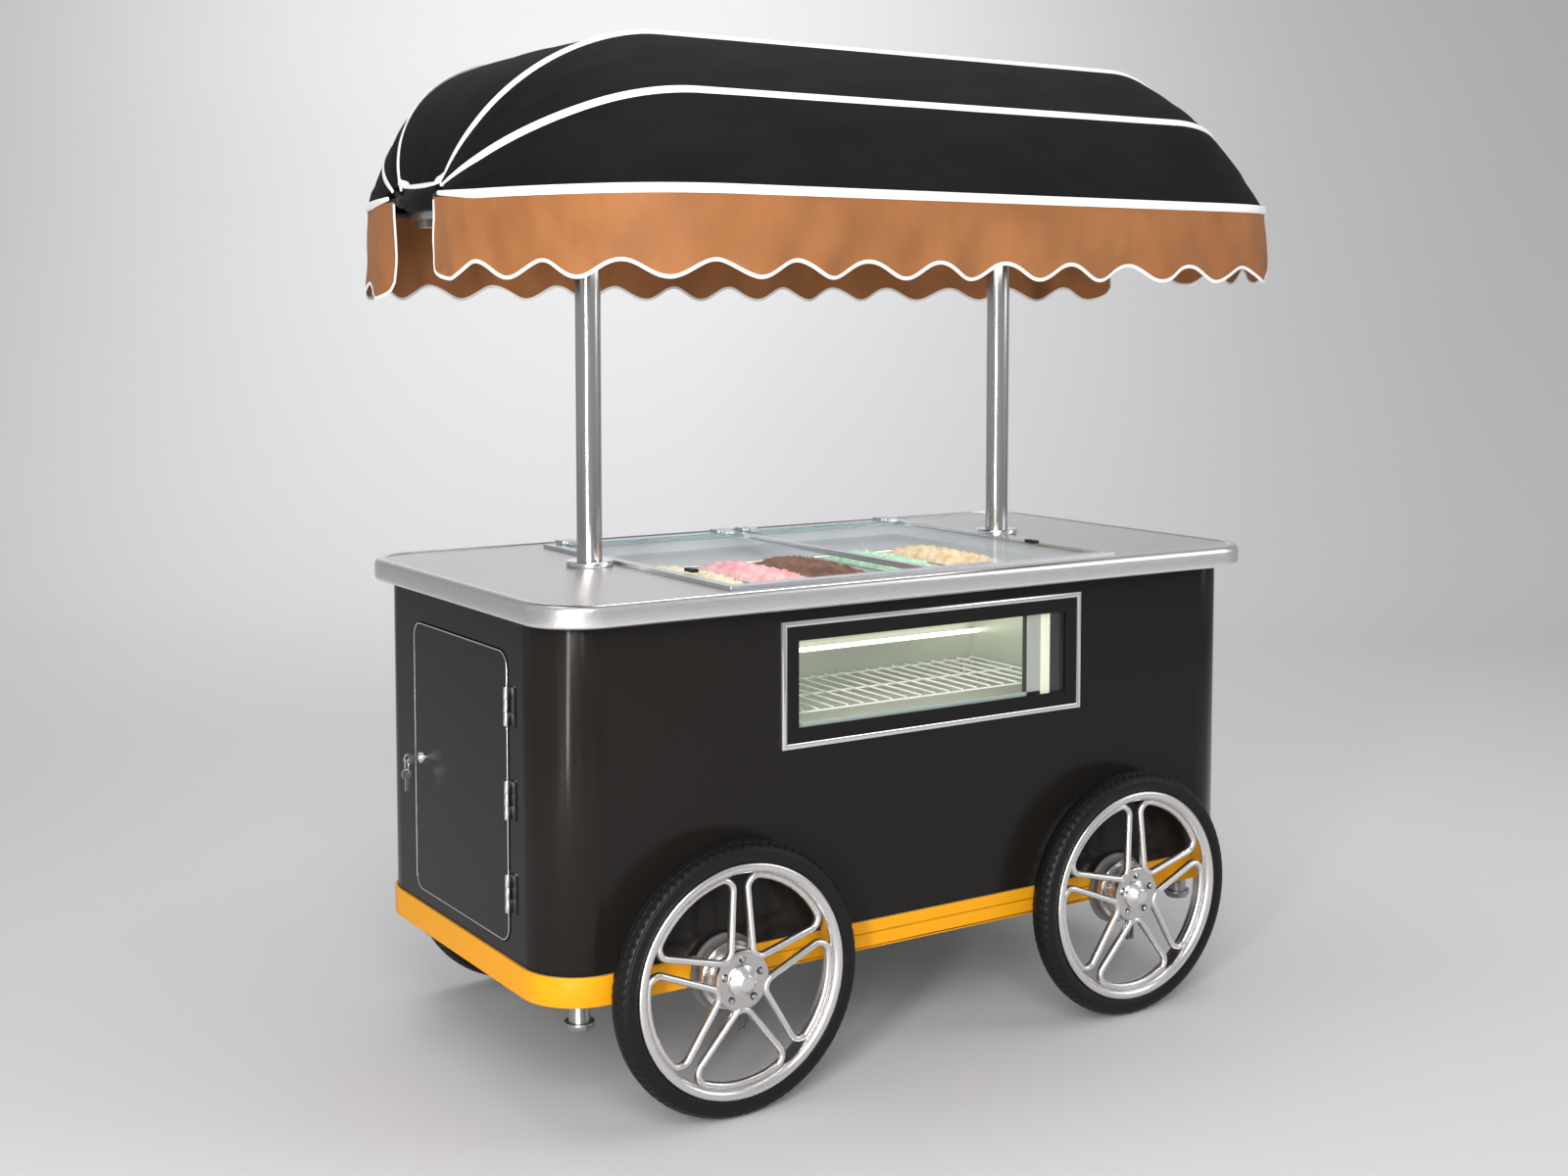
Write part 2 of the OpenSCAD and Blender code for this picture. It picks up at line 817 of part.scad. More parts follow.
module cabinet_shell() {
    color(black)
        difference() {
            slab(cabinet_l, cabinet_d, cabinet_r, floor_z1, cabinet_top);
            slab(
                cabinet_l - 2 * wall, cabinet_d - 2 * wall, cabinet_r - wall,
                floor_z1 - cut, cabinet_top + cut
            );
            end_plate(
                door_w + 2 * door_gap, door_h + 2 * door_gap, door_r + door_gap,
                -half_l - cut, -half_l + wall + cut
            );
            block(
                [window_x0 + pane_inset, -half_d - cut, window_z0 + pane_inset],
                [window_x1 - pane_inset, -half_d + wall + cut, window_z1 - pane_inset]
            );
        }
}

module door_panel() {
    color(black)
        difference() {
            end_plate(door_w, door_h, door_r, door_face, door_face + wall);
            translate([0, lock_y, door_z])
                bar_x(lock_r + run_fit, door_face - cut, door_face + wall + cut);
        }
}

// One hinge's fixed half: its leaf on the cabinet, the outer knuckles and the pin
module hinge_fixed() {
    for (level = [-1, 1])
        translate([0, 0, level * knuckle_h - knuckle_h / 2]) {
            cylinder(r = knuckle_r, h = knuckle_h);
            translate([0, -knuckle_r, 0])
                cube([knuckle_r + door_proud, knuckle_r, knuckle_h]);
        }
    cylinder(r = hinge_pin_r, h = hinge_h, center = true);
    translate([knuckle_r + door_proud - leaf_t, -leaf_w, -hinge_h / 2])
        cube([leaf_t, leaf_w - knuckle_r, hinge_h]);
    for (level = [-1, 1])
        translate([knuckle_r + door_proud - leaf_t, -knuckle_r, level * knuckle_h - knuckle_h / 2])
            cube([leaf_t, knuckle_r, knuckle_h]);
}

// One hinge's moving half: its leaf on the door and the middle knuckle
module hinge_moving() {
    h = knuckle_h - 2 * ear_gap;
    difference() {
        union() {
            cylinder(r = knuckle_r, h = h, center = true);
            translate([0, 0, -h / 2])
                cube([knuckle_r, knuckle_r, h]);
            translate([knuckle_r - leaf_t, 0, -h / 2])
                cube([leaf_t, leaf_w, h]);
        }
        cylinder(r = hinge_pin_r + run_fit, h = hinge_h, center = true);
    }
}

module at_door_hinges() {
    for (share = hinge_level_shares)
        translate([hinge_x, hinge_y, door_z + share * door_h])
            children();
}

module door_hinges() {
    color(bright)
        at_door_hinges()
            hinge_fixed();
}

module door_knuckles() {
    color(bright)
        at_door_hinges()
            hinge_moving();
}

module lock_barrel() {
    color(bright)
        translate([0, lock_y, door_z])
            difference() {
                bar_x(lock_r, door_face - lock_out, door_face + wall + lock_in);
                bar_x(plug_r + run_fit, door_face - lock_out - cut, door_face + wall + lock_in + cut);
            }
}

module lock_plug() {
    cam_x = door_face + wall + lock_in + ear_gap;
    color(steel)
        translate([0, lock_y, door_z]) {
            bar_x(plug_r, door_face - lock_out - plug_out, cam_x + cam_t);
            block([cam_x, -cam_w / 2, -cam_l], [cam_x + cam_t, cam_w / 2, 0]);
        }
}

// A key's round grip in the XZ plane, with its ring hole
module key_grip(hole_x) {
    translate([0, key_t / 2, 0])
        rotate([90, 0, 0])
            linear_extrude(key_t)
                difference() {
                    circle(key_bow_r);
                    translate([hole_x, 0])
                        circle(key_hole_r);
                }
}

module door_key() {
    color(bright)
        translate([0, lock_y, door_z]) {
            block([key_x1 - key_stem, -key_t / 2, -key_stem_h / 2], [key_x1, key_t / 2, key_stem_h / 2]);
            translate([key_grip_x, 0, 0])
                key_grip(key_hole_inset - key_bow_r);
        }
}

module spare_key() {
    spare_z = -2 * ring_r - spare_hang + key_hole_inset - key_bow_r;
    color(bright)
        translate([ring_x, lock_y, door_z - ring_hang]) {
            translate([0, 0, -ring_r])
                rotate([0, 90, 0])
                    rotate_extrude()
                        translate([ring_r, 0])
                            circle(ring_wire);
            translate([0, 0, spare_z]) {
                rotate([0, 90, 0])
                    key_grip(key_hole_inset - key_bow_r);
                block(
                    [-key_stem_h / 2, -key_t / 2, -key_bow_r - spare_stem_l],
                    [key_stem_h / 2, key_t / 2, plug_out - key_bow_r]
                );
            }
        }
}

// A flat ring on the front wall, between two insets from the window's outline
module window_ring(outer, inner, y0, y1) {
    difference() {
        block([window_x0 + outer, y0, window_z0 + outer], [window_x1 - outer, y1, window_z1 - outer]);
        block(
            [window_x0 + inner, y0 - cut, window_z0 + inner],
            [window_x1 - inner, y1 + cut, window_z1 - inner]
        );
    }
}

module window_frame() {
    color(bright)
        window_ring(0, frame_w, -half_d - frame_t, -half_d);
}

module window_bezel() {
    color(black)
        window_ring(frame_w + seat_fit, sight_inset, -half_d - bezel_t, -half_d);
}

module window_glass() {
    inset = pane_inset + seat_fit;
    color(glass)
        block(
            [window_x0 + inset, -half_d, window_z0 + inset],
            [window_x1 - inset, -half_d + glass_t, window_z1 - inset]
        );
}

module display_liner() {
    color(steel)
        difference() {
            block(
                [window_x0 + liner_inset, liner_y0, window_z0 + liner_inset],
                [window_x1 - liner_inset, liner_y1, window_z1 - liner_inset]
            );
            block(
                [window_x0 + pane_inset, liner_y0 - cut, window_z0 + pane_inset],
                [window_x1 - pane_inset, liner_y1 - liner_t, window_z1 - pane_inset]
            );
        }
}

// The wire shelf: cross wires on two long wires, on feet that stand on the liner's floor
module wire_shelf() {
    x0 = window_x0 + pane_inset + wire_side_gap;
    x1 = window_x1 - pane_inset - wire_side_gap;
    y0 = liner_y0 + 4 * wire_side_gap;
    y1 = liner_y1 - liner_t - wire_side_gap;
    liner_floor = window_z0 + pane_inset;
    z = liner_floor + shelf_rise;
    steps = floor((x1 - x0) / wire_pitch);
    step = (x1 - x0) / steps;
    color("white") {
        for (y = [y0, (y0 + y1) / 2, y1])
            translate([0, y, z])
                bar_x(wire_r, x0 - wire_r, x1 + wire_r);
        for (i = [0:steps])
            translate([x0 + i * step, 0, z + 2 * wire_r + run_fit])
                bar_y(wire_r, y0 - wire_r, y1 + wire_r);
        for (x = [x0 + step / 2, x1 - step / 2], y = [y0, y1])
            translate([x, y, liner_floor])
                cylinder(r = wire_r, h = shelf_rise - wire_r - run_fit);
    }
}

module led_tube() {
    x0 = window_x0 + pane_inset;
    x1 = window_x1 - pane_inset;
    color("ivory")
        translate([0, liner_y1 - led_back, window_z1 - pane_inset - led_inset])
            bar_x(led_r, x0 + seat_fit, x1 - seat_fit);
}

// The condensing unit, with the motor and shaft that the fan turns on
module condensing_unit() {
    top = floor_z1 + unit_plate_t;
    cx = unit_x0 + compressor_inset;
    cy = -unit_d / 2 + compressor_inset;
    color("dimgray") {
        block([unit_x0, -unit_d / 2, floor_z1], [unit_x0 + unit_l, unit_d / 2, top]);
        translate([cx, cy, top]) {
            cylinder(r = compressor_r, h = compressor_h);
            translate([0, 0, compressor_h])
                intersection() {
                    sphere(r = compressor_r);
                    cylinder(r = compressor_r, h = compressor_r / 2);
                }
        }
        difference() {
            block(
                [condenser_x0 - shroud_t, -condenser_w / 2, top - cut],
                [condenser_x0 + condenser_t, condenser_w / 2, top + condenser_h]
            );
            translate([0, 0, fan_z])
                bar_x(shroud_r, condenser_x0 - shroud_t - cut, condenser_x0 + condenser_t / 2);
        }
        translate([0, 0, fan_z]) {
            bar_x(motor_r, motor_x1 - motor_l, motor_x1);
            bar_x(shaft_r, motor_x1 - cut, condenser_x0);
        }
        block(
            [motor_x1 - motor_l, -strut_w / 2, top - cut],
            [motor_x1 - motor_l + strut_w, strut_w / 2, fan_z]
        );
    }
}

module fan_blade() {
    color("gray")
        translate([0, 0, fan_z])
            difference() {
                union() {
                    bar_x(fan_hub_r, fan_x0, fan_x1);
                    intersection() {
                        for (i = [0:fan_blades - 1])
                            rotate([360 / fan_blades * i, 0, 0])
                                translate([(fan_x0 + fan_x1) / 2, 0, fan_r / 2])
                                    rotate([0, 0, fan_pitch])
                                        cube([wire_r, fan_blade_w, fan_r], center = true);
                        bar_x(fan_r, fan_x0, fan_x1);
                    }
                }
                bar_x(shaft_r + run_fit, fan_x0 - cut, fan_x1 + cut);
            }
}

// The counter: sheet folded down and back under, with a sunk face and a cut-out for the tub
module countertop() {
    s = counter_sheet;
    color(steel)
        difference() {
            slab(counter_l, counter_d, counter_r, edge_z, counter_h);
            slab(counter_l - 2 * rim_w, counter_d - 2 * rim_w, counter_r - rim_w, face_z, counter_h + cut);
            slab(counter_l - 2 * s, counter_d - 2 * s, counter_r - s, edge_z + s, face_z - s);
            slab(
                cabinet_l + 2 * lip_gap, cabinet_d + 2 * lip_gap, cabinet_r + lip_gap,
                edge_z - cut, edge_z + s + cut
            );
            block(
                [-tub_x - loose_fit, tub_y0 - loose_fit, face_z - s - cut],
                [tub_x + loose_fit, tub_y1 + loose_fit, face_z + cut]
            );
        }
}

// A mouth of the well frame on one side of the divider, at an inset from its edge
module well_mouth(side, inset, z0, z1) {
    x0 = divider_w / 2 + inset;
    x1 = mouth_x - inset;
    block(
        [side > 0 ? x0 : -x1, mouth_y0 + inset, z0],
        [side > 0 ? x1 : -x0, mouth_y1 - inset, z1]
    );
}

module well_frame() {
    ledge_z0 = ledge_top - ledge_t;
    lip = tub_t + loose_fit;
    color(bright)
        difference() {
            union() {
                block([-well_x, well_y0, face_z], [well_x, well_y1, well_top]);
                block(
                    [-tub_x + lip, tub_y0 + lip, ledge_z0],
                    [tub_x - lip, tub_y1 - lip, face_z + well_rise / 2]
                );
            }
            for (side = SIDES) {
                well_mouth(side, 0, ledge_top, well_top + cut);
                well_mouth(side, ledge_w, ledge_z0 - cut, well_top + cut);
            }
        }
}

// The tub hangs under the frame, and its deck holds the pans by their rims
module well_tub() {
    color(steel)
        difference() {
            block([-tub_x, tub_y0, tub_z0], [tub_x, tub_y1, face_z]);
            block(
                [-tub_x + tub_t, tub_y0 + tub_t, deck_z],
                [tub_x - tub_t, tub_y1 - tub_t, face_z + cut]
            );
            block(
                [-tub_x + tub_t, tub_y0 + tub_t, tub_z0 + tub_t],
                [tub_x - tub_t, tub_y1 - tub_t, deck_z - tub_t]
            );
            at_pans()
                translate([0, 0, deck_z - tub_t - cut])
                    linear_extrude(tub_t + 2 * cut)
                        rounded_plan(
                            pan_body_w + 2 * loose_fit, pan_body_l + 2 * loose_fit, pan_corner + loose_fit
                        );
        }
}

module at_pans() {
    for (x = pan_xs)
        translate([x, pan_y, 0])
            children();
}

// One pan: its body hangs through the deck, and its rim lies on the deck
module pan() {
    translate([0, 0, deck_z])
        difference() {
            union() {
                slab(pan_w, pan_l, pan_corner + pan_rim, 0, pan_t);
                slab(pan_body_w, pan_body_l, pan_corner, -pan_depth, pan_t);
            }
            slab(
                pan_body_w - 2 * pan_t, pan_body_l - 2 * pan_t, pan_corner - pan_t,
                pan_t - pan_depth, pan_t + cut
            );
        }
}

module gelato_pans() {
    color(bright)
        at_pans()
            pan();
}

// One pan's ice cream, with a crowned top
module gelato_fill() {
    crown_z = deck_z + fill_rise - fill_crown_r;
    intersection() {
        slab(fill_w, fill_l, fill_corner, deck_z - pan_depth + pan_t, deck_z + fill_rise);
        union() {
            translate([0, 0, crown_z])
                bar_y(fill_crown_r, -fill_l, fill_l);
            block([-fill_w, -fill_l, deck_z - pan_depth], [fill_w, fill_l, deck_z]);
        }
    }
}

module gelato_fills() {
    color("mistyrose")
        at_pans()
            gelato_fill();
}

module lid_glass(side) {
    color(glass)
        block(
            [side > 0 ? lid_x0 : -lid_x1, lid_y0, well_top - lid_t],
            [side > 0 ? lid_x1 : -lid_x0, lid_y1, well_top]
        );
}

module at_lid_hinges(side) {
    for (x = lid_hinge_xs)
        translate([side * x, 0, 0])
            children();
}

// What is fixed to a lid: two hinge blocks at its back edge and a finger pull
module lid_fittings(side) {
    half = lid_hinge_w / 2;
    color(black) {
        at_lid_hinges(side)
            difference() {
                block(
                    [-half, lid_axis_y - lid_block_front, well_top],
                    [half, lid_axis_y + lid_block_back, well_top + lid_hinge_h]
                );
                translate([0, lid_axis_y, lid_axis_z])
                    bar_x(lid_pin_r + run_fit, -half - cut, half + cut);
            }
        translate([side * (lid_x1 - pull_inset - pull_w / 2), pull_y, well_top])
            translate([-pull_w / 2, -pull_l / 2, 0])
                cube([pull_w, pull_l, pull_h]);
    }
}

module lid_left_glass() {
    lid_glass(-1);
}

module lid_right_glass() {
    lid_glass(1);
}

module lid_left_fittings() {
    lid_fittings(-1);
}

module lid_right_fittings() {
    lid_fittings(1);
}

// The fixed halves of the lid hinges: two ears, a foot on the frame and the pin
module lid_hinges() {
    half = lid_hinge_w / 2;
    ear = half + ear_gap;
    color(black)
        for (side = SIDES)
            at_lid_hinges(side) {
                for (sx = SIDES)
                    block(
                        [sx > 0 ? ear : -ear - ear_w, lid_axis_y - ear_front, well_top],
                        [sx > 0 ? ear + ear_w : -ear, well_y1 - ear_base_inset, well_top + lid_hinge_h]
                    );
                block(
                    [-ear - ear_w, mouth_y1 + ear_base_inset, well_top],
                    [ear + ear_w, well_y1 - ear_base_inset, well_top + lid_hinge_h]
                );
                translate([0, lid_axis_y, lid_axis_z])
                    bar_x(lid_pin_r, -ear - ear_w / 2, ear + ear_w / 2);
            }
}

module at_posts() {
    for (sx = SIDES)
        translate([sx * post_x, post_y, 0])
            children();
}

module posts() {
    color(bright)
        at_posts()
            translate([0, 0, face_z])
                difference() {
                    cylinder(r = post_r, h = beam_z0 - face_z);
                    translate([0, 0, -cut])
                        cylinder(r = post_r - post_t, h = beam_z0 - face_z + 2 * cut);
                }
}

module post_flanges() {
    color(bright)
        at_posts()
            translate([0, 0, face_z])
                difference() {
                    cylinder(r = flange_r, h = flange_h);
                    translate([0, 0, -cut])
                        cylinder(r = post_r + run_fit, h = flange_h + 2 * cut);
                }
}

// The beam on the posts, with a cross piece, a hub tube and the hub pins at each end
module canopy_beam() {
    color(steel) {
        block([-eye_x, post_y - beam_w / 2, beam_z0], [eye_x, post_y + beam_w / 2, beam_z1]);
        for (sx = SIDES)
            translate([sx * eye_x, 0, 0]) {
                block([-eye_t / 2, -hub_y, cross_z0], [eye_t / 2, hub_y, beam_z1]);
                translate([0, 0, hub_z])
                    bar_y(cross_r, -hub_y, hub_y);
                for (sy = SIDES) {
                    block(
                        [-eye_t / 2, sy * hub_y - eye_r, cross_z0],
                        [eye_t / 2, sy * hub_y + eye_r, hub_z]
                    );
                    translate([0, sy * hub_y, hub_z]) {
                        bar_x(eye_r, -eye_t / 2, eye_t / 2);
                        bar_x(hub_pin_r, -hub_pin_half(sx, -1), hub_pin_half(sx, 1));
                    }
                }
            }
    }
}

// How far a hub pin reaches from the eye, to the inside or to the outside of the cart
function hub_pin_half(sx, side) =
    sx * side > 0 ? mid_x - eye_x + lug_t / 2 - loose_fit : eye_t / 2 + pin_over;

// The soft sleeves round the hub tubes
module hub_sleeves() {
    color(black)
        for (sx = SIDES)
            translate([sx * eye_x, 0, hub_z])
                difference() {
                    bar_y(sleeve_r, -sleeve_half, sleeve_half);
                    bar_y(cross_r + seat_fit, -sleeve_half - cut, sleeve_half + cut);
                    translate([0, 0, beam_z1 - hub_z + seat_fit - sleeve_r])
                        cube([2 * sleeve_r + cut, 2 * sleeve_half + cut, 2 * sleeve_r], center = true);
                }
}

// The angle that leaves the butt gap between two pieces of tube
function butt_turn(r) = butt_gap / r * 180 / PI;

// A piece of bent tube in the XY plane
module bent_tube(r, from, to) {
    rotate([0, 0, from])
        rotate_extrude(angle = to - from)
            translate([r, 0])
                circle(bow_r);
}

// One bow in front of its hubs: a straight run, two bends and a flat end with a lug on each side
module bow(b) {
    flat_end = wide_r(b) * sin(bow_start) + flat_end_lap;
    flat_half = bow_r + flat_end_swell;
    butt = butt_turn(tight_r(b));
    translate([0, -hub_y, hub_z])
        rotate([-b[1], 0, 0])
            mirror([0, 1, 0]) {
                translate([0, b[0], 0])
                    bar_x(bow_r, -run_half(b), run_half(b));
                for (sx = SIDES)
                    mirror([sx < 0 ? 1 : 0, 0, 0]) {
                        translate([run_half(b), b[0] - tight_r(b), 0])
                            bent_tube(tight_r(b), turn(b) + butt, 90 - butt);
                        difference() {
                            union() {
                                translate([b[2] - wide_r(b), 0, 0])
                                    bent_tube(wide_r(b), bow_start, turn(b));
                                block(
                                    [b[2] - flat_end_t / 2, 0, -flat_half],
                                    [b[2] + flat_end_t / 2, flat_end, flat_half]
                                );
                                bar_x(lug_r, b[2] - lug_t / 2, b[2] + lug_t / 2);
                            }
                            bar_x(hub_pin_r + run_fit, b[2] - lug_r, b[2] + lug_r);
                        }
                    }
            }
}

module top_bows() {
    color(steel) {
        bow(top_bow);
        mirror([0, 1, 0])
            bow(top_bow);
    }
}

// The stub on a middle bow's lug, on which the low bow's lug turns, with its cap and head
module hub_stub() {
    cap_x = mid_x + lug_t / 2;
    head_x = bow_x + lug_t / 2 + loose_fit;
    bar_x(stub_cap_r, cap_x - stub_lap, cap_x + stub_cap_t);
    bar_x(hub_pin_r, cap_x, head_x + pin_head_t);
    bar_x(pin_head_r, head_x, head_x + pin_head_t);
}

module front_mid_bow() {
    color(steel) {
        bow(mid_bow);
        translate([0, -hub_y, hub_z])
            for (sx = SIDES)
                mirror([sx < 0 ? 1 : 0, 0, 0])
                    hub_stub();
    }
}

module front_low_bow() {
    color(steel)
        bow(low_bow);
}

module back_mid_bow() {
    mirror([0, 1, 0])
        front_mid_bow();
}

module back_low_bow() {
    mirror([0, 1, 0])
        front_low_bow();
}

// A cloth panel from one bow to the next, lying on both
module cloth_panel(a, b, over) {
    color(cloth)
        sheet(panel_grid(a, b, over, sheet_out + cloth_t), panel_grid(a, b, over, sheet_out));
}

module top_panel() {
    cloth_panel(top_bow, top_bow, true);
}

module front_upper_panel() {
    cloth_panel(mid_bow, top_bow, false);
}

module front_lower_panel() {
    cloth_panel(low_bow, mid_bow, false);
}

module back_upper_panel() {
    mirror([0, 1, 0])
        front_upper_panel();
}

module back_lower_panel() {
    mirror([0, 1, 0])
        front_lower_panel();
}

// A scalloped valance that hangs round the low bow
module valance(drop) {
    color(tan)
        sheet(
            valance_grid(low_bow, drop, sheet_out + cloth_t),
            valance_grid(low_bow, drop, sheet_out)
        );
}

module front_valance() {
    valance(front_drop);
}

module back_valance() {
    mirror([0, 1, 0])
        valance(back_drop);
}

// The push handle on the right end
module push_handle() {
    z = edge_z - handle_drop;
    arm_y = handle_l / 2 - 2 * handle_r;
    foot_plate = 2 * handle_r;
    color(bright)
        translate([half_l, 0, z]) {
            translate([handle_reach, 0, 0])
                bar_y(handle_r, -handle_l / 2, handle_l / 2);
            for (sy = SIDES)
                translate([0, sy * arm_y, 0]) {
                    bar_x(foot_plate, 0, band_t);
                    bar_x(handle_r * handle_arm_share, 0, handle_reach);
                }
        }
}

// One stabiliser leg with its foot and its stop collar
module leg(sx, sy) {
    color(steel)
        translate([sx * leg_x, sy * rail_y, 0]) {
            translate([0, 0, foot_lift])
                cylinder(r1 = foot_r * foot_tip_share, r2 = foot_r, h = foot_h / 2);
            translate([0, 0, foot_lift + foot_h / 2])
                cylinder(r = foot_r, h = foot_h / 2);
            translate([0, 0, foot_lift + foot_h / 2])
                cylinder(r = leg_r, h = leg_top - foot_lift - foot_h / 2);
            translate([0, 0, leg_top - leg_collar_h])
                cylinder(r = leg_collar_r, h = leg_collar_h);
        }
}

module leg_front_left() {
    leg(-1, -1);
}

module leg_front_right() {
    leg(1, -1);
}

module leg_back_left() {
    leg(-1, 1);
}

module leg_back_right() {
    leg(1, 1);
}

module tyre(sx, sy) {
    color(rubber)
        at_wheel(sx, sy)
            rotate_extrude()
                translate([rim_r + tyre_h / 2, tyre_w / 2])
                    rounded_plan(tyre_h, tyre_w, tyre_round);
}

// One petal of the wheel, drawn flat
module petal() {
    outer = [
        for (k = [0:petal_arc_steps])
            let (a = petal_half_angle * (2 * k / petal_arc_steps - 1))
            petal_out * [cos(a), sin(a)]
    ];
    polygon(grown_outline(concat([[petal_in, 0]], outer), petal_corner));
}

// The wedge between two petals, drawn flat
module spoke_slot() {
    corners = [
        [slot_in, -slot_in_half], [slot_out, -slot_out_half],
        [slot_out, slot_out_half], [slot_in, slot_in_half]
    ];
    polygon(grown_outline(corners, slot_r));
}

// One cast wheel: barrel, spoked disc, hub with its cap and studs, and brake drum
module wheel(sx, sy) {
    barrel_r = rim_r - tyre_seat;
    color(bright)
        at_wheel(sx, sy)
            difference() {
                union() {
                    translate([0, 0, rim_edge])
                        difference() {
                            cylinder(r = barrel_r, h = tyre_w - 2 * rim_edge);
                            translate([0, 0, -cut])
                                cylinder(r = rim_r - rim_t, h = tyre_w + cut);
                        }
                    translate([0, 0, disc_z0])
                        linear_extrude(spoke_t)
                            difference() {
                                circle(rim_r - rim_t / 2);
                                for (i = [0:petal_count - 1]) {
                                    rotate(petal_phase + 360 / petal_count * i)
                                        petal();
                                    rotate(petal_phase + 360 / petal_count * (i + 0.5))
                                        spoke_slot();
                                }
                            }
                    translate([0, 0, -hub_back])
                        cylinder(r = hub_r, h = hub_back + hub_front);
                    translate([0, 0, -hub_back])
                        cylinder(r = drum_r, h = hub_back + drum_t);
                    translate([0, 0, hub_front])
                        cylinder(r1 = cap_r, r2 = cap_tip_r, h = cap_h);
                    for (i = [0:petal_count - 1])
                        rotate(petal_phase + 360 / petal_count * (i + 0.5))
                            translate([stud_ring, 0, hub_front])
                                cylinder(r = stud_r, h = stud_h);
                }
                translate([0, 0, -hub_back - cut])
                    cylinder(r = axle_r + run_fit, h = hub_back + cut + axle_reach + loose_fit);
            }
}

module tyre_front_left() {
    tyre(-1, -1);
}

module tyre_front_right() {
    tyre(1, -1);
}

module tyre_back_left() {
    tyre(-1, 1);
}

module tyre_back_right() {
    tyre(1, 1);
}

module wheel_front_left() {
    wheel(-1, -1);
}

module wheel_front_right() {
    wheel(1, -1);
}

module wheel_back_left() {
    wheel(-1, 1);
}

module wheel_back_right() {
    wheel(1, 1);
}

chassis_frame();
axles();
brake_plates();
base_band();
floor_panel();
cabinet_shell();
door_panel();
door_hinges();
door_knuckles();
lock_barrel();
lock_plug();
door_key();
spare_key();
window_frame();
window_bezel();
window_glass();
display_liner();
wire_shelf();
led_tube();
condensing_unit();
fan_blade();
countertop();
well_frame();
well_tub();
gelato_pans();
gelato_fills();
lid_left_glass();
lid_left_fittings();
lid_right_glass();
lid_right_fittings();
lid_hinges();
posts();
post_flanges();
canopy_beam();
hub_sleeves();
top_bows();
front_mid_bow();
front_low_bow();
back_mid_bow();
back_low_bow();
top_panel();
front_upper_panel();
front_lower_panel();
back_upper_panel();
back_lower_panel();
front_valance();
back_valance();
push_handle();
leg_front_left();
leg_front_right();
leg_back_left();
leg_back_right();
tyre_front_left();
tyre_front_right();
tyre_back_left();
tyre_back_right();
wheel_front_left();
wheel_front_right();
wheel_back_left();
wheel_back_right();
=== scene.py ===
import math

import bmesh
import bpy
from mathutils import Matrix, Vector


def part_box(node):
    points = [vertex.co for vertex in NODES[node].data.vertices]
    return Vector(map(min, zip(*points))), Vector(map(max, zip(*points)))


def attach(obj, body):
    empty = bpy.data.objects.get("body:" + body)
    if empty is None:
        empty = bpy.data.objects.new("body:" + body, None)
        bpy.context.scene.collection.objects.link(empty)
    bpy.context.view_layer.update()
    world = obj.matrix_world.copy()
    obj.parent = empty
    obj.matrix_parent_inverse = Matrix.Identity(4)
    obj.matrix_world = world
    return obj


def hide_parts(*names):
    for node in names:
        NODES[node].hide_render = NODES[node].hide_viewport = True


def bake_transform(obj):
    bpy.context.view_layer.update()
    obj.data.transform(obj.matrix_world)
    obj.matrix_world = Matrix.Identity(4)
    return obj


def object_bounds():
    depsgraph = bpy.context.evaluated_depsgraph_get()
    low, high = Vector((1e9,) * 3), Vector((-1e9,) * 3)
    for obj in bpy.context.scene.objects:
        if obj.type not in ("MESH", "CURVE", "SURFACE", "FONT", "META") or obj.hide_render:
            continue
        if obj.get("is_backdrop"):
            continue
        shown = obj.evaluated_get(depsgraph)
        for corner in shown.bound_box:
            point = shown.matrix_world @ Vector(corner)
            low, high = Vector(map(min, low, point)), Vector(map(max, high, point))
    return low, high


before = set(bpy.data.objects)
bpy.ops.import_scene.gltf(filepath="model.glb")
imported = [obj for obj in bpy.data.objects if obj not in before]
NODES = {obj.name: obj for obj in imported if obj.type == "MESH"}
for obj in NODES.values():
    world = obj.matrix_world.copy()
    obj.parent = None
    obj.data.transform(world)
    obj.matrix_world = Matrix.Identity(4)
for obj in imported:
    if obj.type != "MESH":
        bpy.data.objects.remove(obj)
START_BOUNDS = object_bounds()

# Sizes in metres and angles in degrees, as in the solid model
KNUCKLE_R = 0.005
DOOR_HINGE_Y = -0.2385
DOOR_CORNER_R = 0.030
HUB_Y = 0.090
HUB_Z = 1.707
SHEET_OUT = 0.0095
CLOTH_T = 0.002
BULGE = 0.005
BOW_START = 5.0
VALANCE_START = 0.5
FRONT_DROP = 0.150
BACK_DROP = 0.184
WHEEL_X = 0.492
AXLE_Z = 0.260
TYRE_IN = 0.432
TYRE_W = 0.054
COUNTER_HALF_X = 0.870
COUNTER_HALF_Y = 0.458
COUNTER_R = 0.115
LIP_INSET = 0.021
LIP_Z = 0.941
EDGE_Z = 0.938
RIM_Z = 0.982
FACE_Z = 0.979
UNDER_Z = 0.976
HOLE_HALF_X = 0.459
HOLE_HALF_Y = 0.374
HOLE_Y = -0.021
SHEET_T = 0.003
DECK_Z = 0.953
PAN_XS = (-0.379, -0.231, -0.083, 0.099, 0.263)
PAN_Y = -0.103
BEZEL_W = 0.028

# The photo's camera: its place in metres, its angles in degrees and its lens in millimetres
VIEW_PLACE = (-2.36609, -3.49670, 1.50391)
VIEW_YAW = 33.058
VIEW_PITCH = 4.059
VIEW_LENS = 45.02
VIEW_SHIFT = -0.09


# Materials

